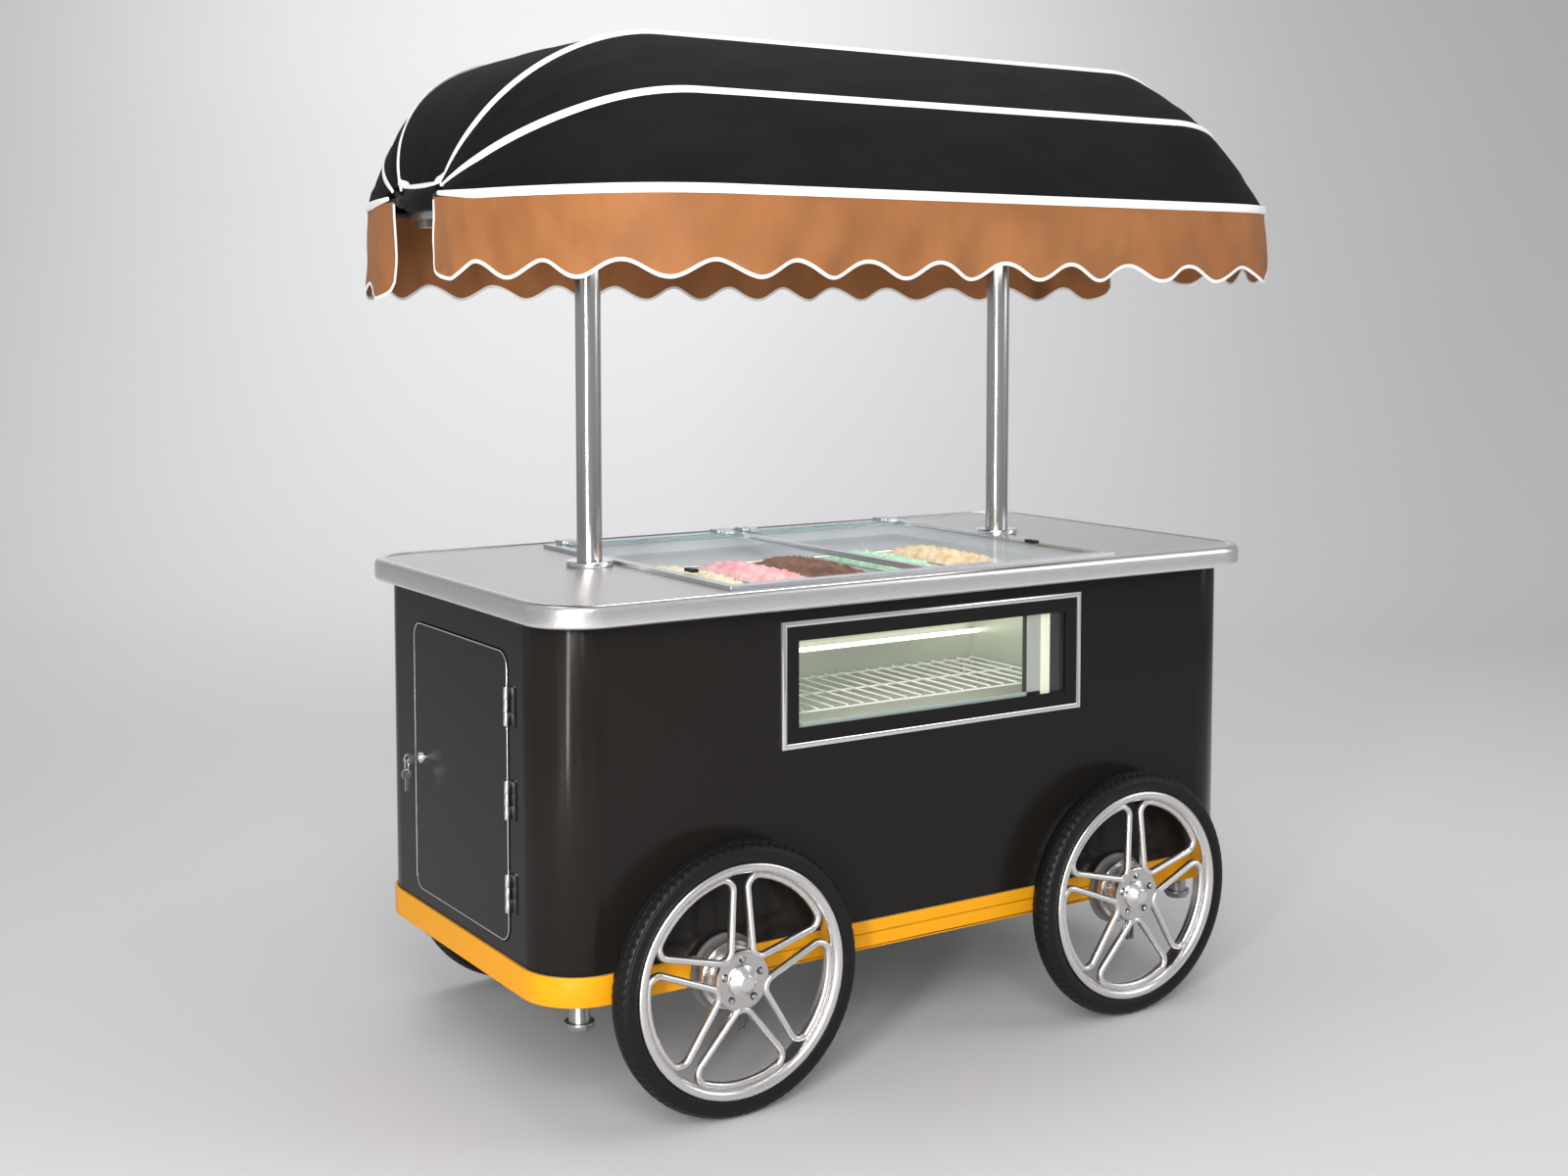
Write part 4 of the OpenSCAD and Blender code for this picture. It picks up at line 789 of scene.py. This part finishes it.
def build_valance(word, front, drop):
    total = 2 * low_half_length()
    verts = []
    coords = []
    hem_path = []
    hem_ups = []
    out = SHEET_OUT + CLOTH_T / 2
    for i in range(VALANCE_COLS + 1):
        s_all = total * i / VALANCE_COLS
        hem = hem_drop(s_all, total, drop)
        for j in range(VALANCE_ROWS + 1):
            down = hem * j / VALANCE_ROWS
            verts.append(valance_point(s_all, total, down, drop, front, out))
            coords.append((s_all, down))
        side = -1 if s_all < total / 2 else 1
        th, _ = low_walk(s_all if side < 0 else total - s_all)
        hem_path.append(valance_point(s_all, total, hem, drop, front, out))
        hem_ups.append(LOW.normal(side, th, front))
    faces = strip_faces(VALANCE_COLS + 1, VALANCE_ROWS + 1)
    obj = add_mesh(word + "_valance_cloth", verts, faces, valance_material(), 60.0)
    layer = obj.data.uv_layers.new(name="cut")
    for loop in obj.data.loops:
        layer.data[loop.index].uv = coords[loop.vertex_index]
    thicken(obj)
    end_paths = []
    for s_all in (0.0, total):
        rest = hem_drop(s_all, total, drop) - END_TAPE_TOP
        downs = [END_TAPE_TOP + rest * k / END_STEPS for k in range(END_STEPS + 1)]
        end_paths.append([valance_point(s_all, total, down, drop, front, out) for down in downs])
    path = end_paths[0] + hem_path[1:-1] + end_paths[1][::-1]
    ends = END_STEPS + 1
    ups = [hem_ups[0]] * ends + hem_ups[1:-1] + [hem_ups[-1]] * ends
    hem_tape = sweep(word + "_hem_tape", path, HEM_TAPE_W, HEM_TAPE_T, TAPE, False, ups, 8)
    for piece in (obj, hem_tape):
        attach(piece, word + "_low")
    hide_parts(word + "_valance")


def valance_material():
    name = "valance weave"
    mat = bpy.data.materials.get(name)
    if mat:
        return mat
    mat = woven(name, (0.270, 0.107, 0.034), (0.335, 0.136, 0.045), 0.68)
    bump(mat, noise(mat, 5.5, 3.0, (1.0, 1.0, 0.6)), 0.55, 0.035)
    nodes = mat.node_tree.nodes
    links = mat.node_tree.links
    shader = shader_of(mat)
    shader.inputs["Subsurface Weight"].default_value = 0.35
    shader.inputs["Subsurface Radius"].default_value = (0.004, 0.002, 0.001)
    shader.inputs["Subsurface Scale"].default_value = 1.0
    base = shader.inputs["Base Color"].links[0].from_socket
    uv = nodes.new("ShaderNodeUVMap")
    uv.uv_map = "cut"
    split = nodes.new("ShaderNodeSeparateXYZ")
    links.new(uv.outputs["UV"], split.inputs["Vector"])
    line = band(mat, split.outputs["Y"], STITCH_DOWN, STITCH_HALF)
    dash = repeat_band(mat, split.outputs["X"], STITCH_PITCH, STITCH_SHARE)
    marks = combine(mat, "MULTIPLY", line, dash)
    mix = nodes.new("ShaderNodeMix")
    mix.data_type = "RGBA"
    mix.inputs["B"].default_value = (0.30, 0.12, 0.04, 1.0)
    links.new(marks, mix.inputs["Factor"])
    links.new(base, mix.inputs["A"])
    links.new(mix.outputs["Result"], shader.inputs["Base Color"])
    return mat


def combine(mat, operation, a, b):
    node = mat.node_tree.nodes.new("ShaderNodeMath")
    node.operation = operation
    for socket, value in ((node.inputs[0], a), (node.inputs[1], b)):
        if isinstance(value, float):
            socket.default_value = value
        else:
            mat.node_tree.links.new(value, socket)
    return node.outputs["Value"]


def band(mat, value, centre, half):
    off = combine(mat, "ABSOLUTE", combine(mat, "SUBTRACT", value, centre), 0.0)
    return combine(mat, "LESS_THAN", off, half)


def repeat_band(mat, value, pitch, share):
    turns = combine(mat, "DIVIDE", value, pitch)
    return combine(mat, "LESS_THAN", combine(mat, "FRACT", turns, 0.0), share)


# Counter

EDGE_LOW_R = 0.009
EDGE_TOP_R = 0.012
EDGE_LOW_STEPS = 6
EDGE_TOP_STEPS = 8
RIM_SOFT = 0.0003

# Inset and height of the step from the counter's rim down to its face
RIM_STEP = ((0.018, RIM_Z), (0.0195, RIM_Z - RIM_SOFT), (0.0215, FACE_Z + RIM_SOFT), (0.0225, FACE_Z))


def counter_loop(inset, z):
    return plan_loop(COUNTER_HALF_X - inset, COUNTER_HALF_Y - inset, COUNTER_R - inset, z, steps=16)


def counter_hole(z):
    return plan_loop(HOLE_HALF_X, HOLE_HALF_Y, SHEET_T, z, 0.0, HOLE_Y, steps=16)


def build_counter():
    edge = [(LIP_INSET, EDGE_Z)]
    for k in range(EDGE_LOW_STEPS + 1):
        a = math.pi / 2 * k / EDGE_LOW_STEPS
        edge.append((EDGE_LOW_R * (1 - math.sin(a)), EDGE_Z + EDGE_LOW_R * (1 - math.cos(a))))
    for k in range(EDGE_TOP_STEPS + 1):
        a = math.pi / 2 * k / EDGE_TOP_STEPS
        edge.append((EDGE_TOP_R * (1 - math.cos(a)), RIM_Z - EDGE_TOP_R * (1 - math.sin(a))))
    edge += RIM_STEP
    loops = [counter_loop(LIP_INSET, LIP_Z)] + [counter_loop(inset, z) for inset, z in edge]
    loops += [counter_hole(FACE_Z), counter_hole(UNDER_Z)]
    loops += [counter_loop(SHEET_T, UNDER_Z), counter_loop(SHEET_T, LIP_Z)]
    # The rounded edge rows take the lighter steel, a painted highlight
    bands = [1] * len(edge) + [0] * (len(loops) - len(edge))
    obj = loft("counter_sheet", loops, [STEEL, STEEL_EDGE_HIGHLIGHT], True, 40.0, bands)
    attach(obj, "cart")
    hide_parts("countertop")


# Half length, half width, corner radius and height over the deck, along a pan's section
PAN_LIP = ((0.0655, 0.1865, 0.012, 0.0), (0.0705, 0.1915, 0.017, 0.0001))
PAN_OUTER = (0.071, 0.192, 0.017, 0.0004)
PAN_ROLL_R = 0.0025
PAN_WELL = (
    (0.0660, 0.1870, 0.0125, 0.0), (0.0645, 0.1855, 0.0105, -0.004), (0.0640, 0.1850, 0.0100, -0.046),
    (0.0560, 0.1770, 0.0060, -0.0505), (0.0100, 0.1000, 0.0020, -0.0505),
)


def pan_section():
    section = list(PAN_LIP)
    half_x, half_y, r, rise = PAN_OUTER
    for k in range(1, 8):
        a = math.pi * k / 8
        inset = PAN_ROLL_R * (1 - math.cos(a))
        section.append((half_x - inset, half_y - inset, r - inset, PAN_ROLL_R * math.sin(a) + rise))
    return section + list(PAN_WELL)


def build_pans():
    lofts = []
    for index, x in enumerate(PAN_XS):
        loops = [plan_loop(hx, hy, r, DECK_Z + z, x, PAN_Y, 6) for hx, hy, r, z in pan_section()]
        lofts.append(loft("pan_%d" % index, loops, PAN, False, 45.0))
    obj = join("pans", lofts)
    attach(obj, "cart")
    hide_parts("gelato_pans")


CREAM_HALF_X = 0.0632
CREAM_HALF_Y = 0.1840
CREAM_LOW = 0.022
CREAM_RISE = 0.036
CREAM_WAVE = 0.0125
CREAM_COLS = 56
CREAM_ROWS = 130


def scoop_height(u, v, seed):
    body = max(0.0, 1 - abs(u) ** 2.3) ** 0.55 * max(0.0, 1 - abs(v) ** 3.2) ** 0.5
    warp = 0.16 * math.sin(3.1 * v + seed) + 0.10 * math.sin(4.2 * u + 1.3 * seed)
    strands = math.sin(2 * math.pi * (3.3 * u + 1.35 * v + 1.5 * warp + 0.12 * math.sin(7 * v)) + seed)
    cross = math.sin(2 * math.pi * (2.4 * v - 0.7 * u + warp) + 2 * seed)
    fine = math.sin(2 * math.pi * (7.1 * u + 3.2 * v + warp) + 3.1 * seed)
    return body, 0.62 * (1 - abs(strands)) + 0.28 * (1 - abs(cross)) + 0.10 * fine


def cream_points(x, seed):
    points = []
    for i in range(CREAM_COLS + 1):
        u = 2 * i / CREAM_COLS - 1
        for j in range(CREAM_ROWS + 1):
            v = 2 * j / CREAM_ROWS - 1
            body, waves = scoop_height(u, v, seed)
            z = DECK_Z - CREAM_LOW + CREAM_RISE * body + CREAM_WAVE * waves * min(1.0, 2.2 * body)
            points.append((x + CREAM_HALF_X * u, PAN_Y + CREAM_HALF_Y * v, z))
    return points


def build_creams():
    scoops = []
    faces = strip_faces(CREAM_COLS + 1, CREAM_ROWS + 1)
    for index, x in enumerate(PAN_XS):
        points = cream_points(x, 1.7 * index + 0.6)
        scoops.append(add_mesh("cream_%d" % index, points, faces, CREAMS[index], 80.0))
    for scoop in scoops:
        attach(scoop, "cart")
    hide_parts("gelato_fills")


# Wheels

def wheel_place(sx, sy):
    def place(x, y, z):
        if sy < 0:
            return (sx * WHEEL_X + x, -TYRE_IN - z, AXLE_Z + y)
        return (sx * WHEEL_X + x, TYRE_IN + z, AXLE_Z - y)
    return place


PETALS = 5
PETAL_PHASE = math.radians(54.0)
PETAL_TIP = 0.077
PETAL_CORNER_R = 0.175
PETAL_HALF = math.radians(23.5)
PETAL_HOLE_R = 0.015
PETAL_Z = 0.0355
PETAL_CROWN = 0.006
CROWN_START_R = 0.06
CROWN_LENGTH = 0.12
ROD_W = 0.0140
ROD_H = 0.0180
BOLT_CIRCLE_R = 0.0415

# Sections of the turned pieces, as radius and distance along the axle
RIM_SECTION = (
    (0.2080, 0.0040), (0.2180, 0.0030), (0.2215, 0.0050), (0.2218, 0.0480), (0.2220, 0.0510),
    (0.2208, 0.0532), (0.2180, 0.0546), (0.2145, 0.0552), (0.2110, 0.0546), (0.2075, 0.0528),
    (0.2045, 0.0500), (0.2025, 0.0460), (0.2018, 0.0410), (0.2030, 0.0300), (0.2040, 0.0110),
    (0.2060, 0.0060),
)
HUB_SECTION = (
    (0.0130, 0.0410), (0.0130, -0.0085), (0.0640, -0.0085), (0.0650, -0.0075), (0.0650, 0.0070),
    (0.0640, 0.0080), (0.0560, 0.0085), (0.0520, 0.0200), (0.0550, 0.0300), (0.0575, 0.0380),
    (0.0580, 0.0420), (0.0570, 0.0450), (0.0540, 0.0467), (0.0500, 0.0470), (0.0330, 0.0440),
    (0.0300, 0.0440),
)
CAP_SECTION = (
    (0.0300, 0.0420), (0.0305, 0.0470), (0.0295, 0.0490), (0.0285, 0.0495), (0.0160, 0.0625),
    (0.0145, 0.0642), (0.0120, 0.0649), (0.0001, 0.0650),
)
# Section of the dark disc round each bolt, painted shade for its pocket
POCKET_SHADE_SECTION = ((0.0001, 0.0462), (0.0076, 0.0462), (0.0080, 0.0400))
BOLT_SECTION = ((0.0052, 0.0440), (0.0052, 0.0490), (0.0045, 0.0498), (0.0001, 0.0500))
TYRE_SIDE = (
    (0.2222, 0.0075), (0.2235, 0.0045), (0.2290, 0.0020), (0.2350, 0.0007), (0.2405, 0.0004),
    (0.2450, 0.0008), (0.2468, 0.0022), (0.2480, 0.0020), (0.2505, 0.0034), (0.2530, 0.0058),
    (0.2552, 0.0090), (0.2570, 0.0130), (0.2582, 0.0168), (0.2586, 0.0176), (0.2566, 0.0182),
    (0.2566, 0.0196), (0.2590, 0.0202), (0.2596, 0.0230), (0.2598, 0.0250),
)
TYRE_MIDDLE = ((0.2576, 0.0258), (0.2576, 0.0282))
TREAD_BLOCKS = 84
TREAD_STEPS = 6
TREAD_CUT = 0.0022
TREAD_LOW = 0.0050
TREAD_HIGH = 0.0172
TREAD_TURN = 0.012
TREAD_SLANT_SHARE = 0.35


def arc_points(centre, r, start, end, steps):
    points = []
    for k in range(steps + 1):
        a = start + (end - start) * k / steps
        points.append(Vector((centre[0] + r * math.cos(a), centre[1] + r * math.sin(a))))
    return points


def petal_path():
    bend = PETAL_HOLE_R + ROD_W / 2
    tip = (PETAL_TIP, 0.0)
    upper = (PETAL_CORNER_R * math.cos(PETAL_HALF), PETAL_CORNER_R * math.sin(PETAL_HALF))
    lower = (upper[0], -upper[1])
    facing = math.atan2(upper[1], upper[0] - PETAL_TIP) + math.pi / 2
    back = 2 * math.pi - facing
    points = arc_points(tip, bend, facing, back, 12)
    corner = arc_points(lower, bend, back, 2 * math.pi - PETAL_HALF, 12)
    points += [points[-1].lerp(corner[0], k / 8) for k in range(1, 8)] + corner
    points += arc_points((0.0, 0.0), PETAL_CORNER_R + bend, -PETAL_HALF, PETAL_HALF, 14)[1:-1]
    corner = arc_points(upper, bend, PETAL_HALF, facing, 12)
    points += corner
    points += [corner[-1].lerp(points[0], k / 8) for k in range(1, 8)]
    return points


def spin(p, a):
    return p.x * math.cos(a) - p.y * math.sin(a), p.x * math.sin(a) + p.y * math.cos(a)


def build_petal(word, place, a):
    path = []
    for p in petal_path():
        x, y = spin(p, a)
        crown = PETAL_CROWN * max(0.0, 1 - (p.length - CROWN_START_R) / CROWN_LENGTH)
        path.append(place(x, y, PETAL_Z + crown))
    outward = Vector(place(0, 0, 1)) - Vector(place(0, 0, 0))
    return sweep(word + "_petal", path, ROD_W, ROD_H, ALLOY_BRIGHT, True, [outward] * len(path), 14)


def build_bolt(word, place, a):
    cx = BOLT_CIRCLE_R * math.cos(a)
    cy = BOLT_CIRCLE_R * math.sin(a)

    def bolt_place(x, y, z):
        return place(x + cx, y + cy, z)
    # The pocket is a dark disc of painted shade round the bolt
    return [
        lathe(word + "_pocket_shade", POCKET_SHADE_SECTION, bolt_place, POCKET_SHADE, 24, 40.0, False),
        lathe(word + "_bolt", BOLT_SECTION, bolt_place, BOLT, 6, 20.0, False),
    ]


def build_wheel(word, sx, sy):
    place = wheel_place(sx, sy)
    pieces = [lathe(word + "_rim", RIM_SECTION, place, ALLOY_BRIGHT, 112, 60.0)]
    for k in range(PETALS):
        pieces.append(build_petal(word, place, PETAL_PHASE + 2 * math.pi * k / PETALS))
    pieces.append(lathe(word + "_hub", HUB_SECTION, place, ALLOY, 64, 40.0))
    pieces.append(lathe(word + "_cap", CAP_SECTION, place, ALLOY_BRIGHT, 48, 35.0, False))
    for k in range(PETALS):
        pieces += build_bolt(word, place, PETAL_PHASE + 2 * math.pi * (k + 0.5) / PETALS)
    wheel = join(word + "_cast_wheel", pieces)
    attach(wheel, "wheel_" + word)
    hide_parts("wheel_" + word)


def tyre_section():
    mirrored = [(r, TYRE_W - z) for r, z in TYRE_SIDE[::-1]]
    return list(TYRE_SIDE + TYRE_MIDDLE) + mirrored


def build_tyre(word, sx, sy):
    place = wheel_place(sx, sy)
    section = tyre_section()
    steps = TREAD_BLOCKS * TREAD_STEPS
    verts = []
    for i in range(steps):
        in_cut = i % TREAD_STEPS in (0, 1)
        for r, z in section:
            edge = min(z, TYRE_W - z)
            cut = TREAD_CUT if in_cut and TREAD_LOW < edge < TREAD_HIGH else 0.0
            slant = (TREAD_TURN - edge) * TREAD_SLANT_SHARE if edge < TREAD_HIGH else 0.0
            a = 2 * math.pi * (i / steps) + slant
            verts.append(place((r - cut) * math.cos(a), (r - cut) * math.sin(a), z))
    faces = strip_faces(steps, len(section), True, True)
    tyre = add_mesh(word + "_moulded_tyre", verts, faces, RUBBER, 42.0)
    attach(tyre, "wheel_" + word)
    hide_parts("tyre_" + word)


def build_wheels():
    for word, sx, sy in (
        ("front_left", -1, -1), ("front_right", 1, -1), ("back_left", -1, 1), ("back_right", 1, 1),
    ):
        build_wheel(word, sx, sy)
        build_tyre(word, sx, sy)


# Small trim

EDGING_W = 0.0024
EDGING_T = 0.0016
EDGING_INSET = 0.0012
EDGING_OUT = 0.0002
GLASS_LINE_T = 0.0012
GLASS_LINE_INSET = 0.0002
LIGHT_TUBE_D = 0.010

# Inset and height of the window frame's rounded section
FRAME_SECTION = (
    (0.0, 0.0), (0.0, 0.0045), (0.0008, 0.0066), (0.0028, 0.0080), (0.0062, 0.0084), (0.0092, 0.0080),
    (0.0112, 0.0066), (0.0120, 0.0045), (0.0120, 0.0),
)
UPRIGHT_BACK = 0.007
UPRIGHT_LAP = 0.008
SILL_SHORT = 0.06
SILL_T = 0.003
SILL_H = 0.014

# Uprights behind the glass: left and right edge from the sight's right end, depth, finish and slot
UPRIGHTS = (
    ("dark_upright", 0.034, -0.008, 0.006, PLASTIC, "black_plastic"),
    ("lit_upright", 0.058, 0.034, 0.010, GLOW_STRIP, "light_tube"),
    ("bright_upright", 0.096, 0.060, 0.004, LINER, "sheet_steel"),
    ("joint_upright", 0.0985, 0.096, 0.012, PLASTIC, "black_plastic"),
)


def door_line():
    lo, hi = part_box("door_panel")
    cy = (lo.y + hi.y) / 2
    cz = (lo.z + hi.z) / 2
    half_y = (hi.y - lo.y) / 2 - EDGING_INSET
    half_z = (hi.z - lo.z) / 2 - EDGING_INSET
    flat = plan_loop(half_y, half_z, DOOR_CORNER_R, 0.0, cy, cz, 10)
    path = [(lo.x - EDGING_OUT, p[0], p[1]) for p in flat]
    ups = [Vector((-1, 0, 0))] * len(path)
    trim = sweep("door_edging", path, EDGING_W, EDGING_T, CHROME, True, ups, 8)
    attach(trim, "door")


def flat_piece(name, lo, hi, mat, body, slot, bevel=0.0005):
    corners = [(x, y, z) for x in (lo[0], hi[0]) for y in (lo[1], hi[1]) for z in (lo[2], hi[2])]
    faces = [(0, 1, 3, 2), (4, 6, 7, 5), (0, 4, 5, 1), (2, 3, 7, 6), (0, 2, 6, 4), (1, 5, 7, 3)]
    obj = add_mesh(name, corners, faces, mat, 30.0)
    edge = obj.modifiers.new("edges", "BEVEL")
    edge.width = bevel
    edge.segments = 2
    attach(obj, body)
    return obj


def build_glass_edges():
    for word in ("left", "right"):
        body = "lid_" + word
        lo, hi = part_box(body + "_glass")
        z0 = lo.z + GLASS_LINE_INSET
        z1 = hi.z - GLASS_LINE_INSET
        for place, y in (("back", hi.y - GLASS_LINE_T), ("front", lo.y)):
            a = (lo.x, y, z0)
            b = (hi.x, y + GLASS_LINE_T, z1)
            name = "%s_%s_edge" % (body, place)
            flat_piece(name, a, b, GLASS_EDGE, body, "clear_glass", GLASS_LINE_INSET)


def build_window_frame():
    lo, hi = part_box("window_frame")
    back = hi.y
    cx = (lo.x + hi.x) / 2
    cz = (lo.z + hi.z) / 2
    loops = []
    for inset, out in FRAME_SECTION:
        half_x = (hi.x - lo.x) / 2 - inset
        half_z = (hi.z - lo.z) / 2 - inset
        corners = ((-half_x, -half_z), (half_x, -half_z), (half_x, half_z), (-half_x, half_z))
        loops.append([(cx + x, back - out, cz + z) for x, z in corners])
    obj = loft("window_moulding", loops, CHROME, True, 30.0)
    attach(obj, "cart")
    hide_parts("window_frame")


def build_light_tube():
    lo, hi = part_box("led_tube")
    y = (lo.y + hi.y) / 2
    z = (lo.z + hi.z) / 2
    path = [(lo.x + (hi.x - lo.x) * k / 8, y, z) for k in range(9)]
    tube = sweep("slim_light_tube", path, LIGHT_TUBE_D, LIGHT_TUBE_D, LIGHT, sides=16)
    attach(tube, "cart")
    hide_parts("led_tube")


def build_display():
    lo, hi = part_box("window_bezel")
    sight_x1 = hi.x - BEZEL_W
    y0 = hi.y + UPRIGHT_BACK
    z0 = lo.z + BEZEL_W - UPRIGHT_LAP
    z1 = hi.z - BEZEL_W + UPRIGHT_LAP
    for name, left, right, depth, mat, slot in UPRIGHTS:
        a = (sight_x1 - left, y0, z0)
        b = (sight_x1 - right, y0 + depth, z1)
        flat_piece(name, a, b, mat, "cart", slot)
    sill_lo = (lo.x + BEZEL_W, y0, z0)
    sill_hi = (sight_x1 - SILL_SHORT, y0 + SILL_T, z0 + SILL_H)
    flat_piece("glass_sill", sill_lo, sill_hi, SILL_EDGE, "cart", "clear_glass")


# Studio

def area_light(name, place, target, size, power, color=(1.0, 1.0, 1.0)):
    data = bpy.data.lights.new(name, "AREA")
    data.shape = "RECTANGLE"
    data.size, data.size_y = size
    data.energy = power
    data.color = color
    obj = bpy.data.objects.new(name, data)
    bpy.context.scene.collection.objects.link(obj)
    obj.location = place
    obj.rotation_mode = "QUATERNION"
    obj.rotation_quaternion = (Vector(target) - Vector(place)).to_track_quat("-Z", "Y")


FLOOR_NEAR = -9.0
FLOOR_FAR = 4.5
FLOOR_HALF_W = 14.0
COVE_R = 2.5
COVE_STEPS = 12
WALL_TOP = 11.0


def build_sweep():
    mat = new_material("studio floor", (0.60, 0.60, 0.607), 0.5)
    vary(mat, "Roughness", noise(mat, 3.0, 2.0), 0.56, 0.68)
    shader_of(mat).inputs["Specular IOR Level"].default_value = 0.25
    yaw = math.radians(VIEW_YAW)
    out = Vector((math.sin(yaw), math.cos(yaw), 0))
    across = Vector((math.cos(yaw), -math.sin(yaw), 0))
    section = [(FLOOR_NEAR, 0.0)]
    for i in range(COVE_STEPS + 1):
        a = math.pi / 2 * i / COVE_STEPS
        section.append((FLOOR_FAR + COVE_R * math.sin(a), COVE_R * (1 - math.cos(a))))
    section.append((FLOOR_FAR + COVE_R, WALL_TOP))
    verts = []
    for w in (-FLOOR_HALF_W, FLOOR_HALF_W):
        verts += [out * far + across * w + Vector((0, 0, z)) for far, z in section]
    obj = add_mesh("studio_sweep", verts, strip_faces(2, len(section)), mat, 60.0, turn_out=False)
    obj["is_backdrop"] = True


def build_world():
    world = bpy.data.worlds.new("studio")
    world.use_nodes = True
    background = world.node_tree.nodes["Background"]
    background.inputs["Color"].default_value = (0.80, 0.81, 0.83, 1.0)
    background.inputs["Strength"].default_value = 0.55
    bpy.context.scene.world = world


# Place, target, size and power of each light, and its colour where it isn't white
LIGHTS = (
    ("key", (-2.9, -4.5, 3.5), (0.0, 0.0, 0.95), (2.4, 3.0), 185, (1.0, 0.985, 0.96)),
    ("fill", (4.2, -3.6, 3.0), (0.2, 0.0, 0.9), (2.2, 3.4), 50, (0.97, 0.985, 1.0)),
    ("top", (0.4, 0.6, 5.4), (0.0, 0.0, 1.0), (5.0, 3.4), 125),
    ("strip", (-3.5, -3.0, 1.25), (-0.8, -0.35, 0.7), (0.40, 2.5), 130, (1.0, 0.96, 0.91)),
    ("cavity", (0.013, -0.25, 0.874), (0.013, -0.24, 0.7), (0.62, 0.22), 0.42, (1.0, 0.99, 0.9)),
    ("under canopy", (0.0, -0.20, 1.62), (0.0, -0.06, 0.95), (1.1, 0.3), 3.6),
    ("back", (1.5, 4.6, 3.6), (2.6, 6.6, 1.2), (5.0, 2.0), 84),
)


def build_lights():
    for light in LIGHTS:
        area_light(*light)


def build_camera():
    data = bpy.data.cameras.new("photo")
    data.sensor_width = 36.0
    data.sensor_fit = "HORIZONTAL"
    data.lens = VIEW_LENS
    data.shift_y = VIEW_SHIFT
    data.clip_end = 100.0
    camera = bpy.data.objects.new("photo", data)
    bpy.context.scene.collection.objects.link(camera)
    yaw = math.radians(VIEW_YAW)
    pitch = math.radians(VIEW_PITCH)
    camera.location = VIEW_PLACE
    forward = Vector((math.sin(yaw) * math.cos(pitch), math.cos(yaw) * math.cos(pitch), -math.sin(pitch)))
    camera.rotation_mode = "QUATERNION"
    camera.rotation_quaternion = forward.to_track_quat("-Z", "Y")
    bpy.context.scene.camera = camera
    bpy.context.scene.view_settings.view_transform = "Standard"


def write_sizes():
    ends = {"start": START_BOUNDS, "end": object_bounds()}
    {k: [list(a), list(b)] for k, (a, b) in ends.items()}


dress_all()
build_canopy()
build_counter()
build_pans()
build_creams()
build_wheels()
door_line()
build_glass_edges()
build_window_frame()
build_light_tube()
build_display()
build_sweep()
build_world()
build_lights()
build_camera()
write_sizes()
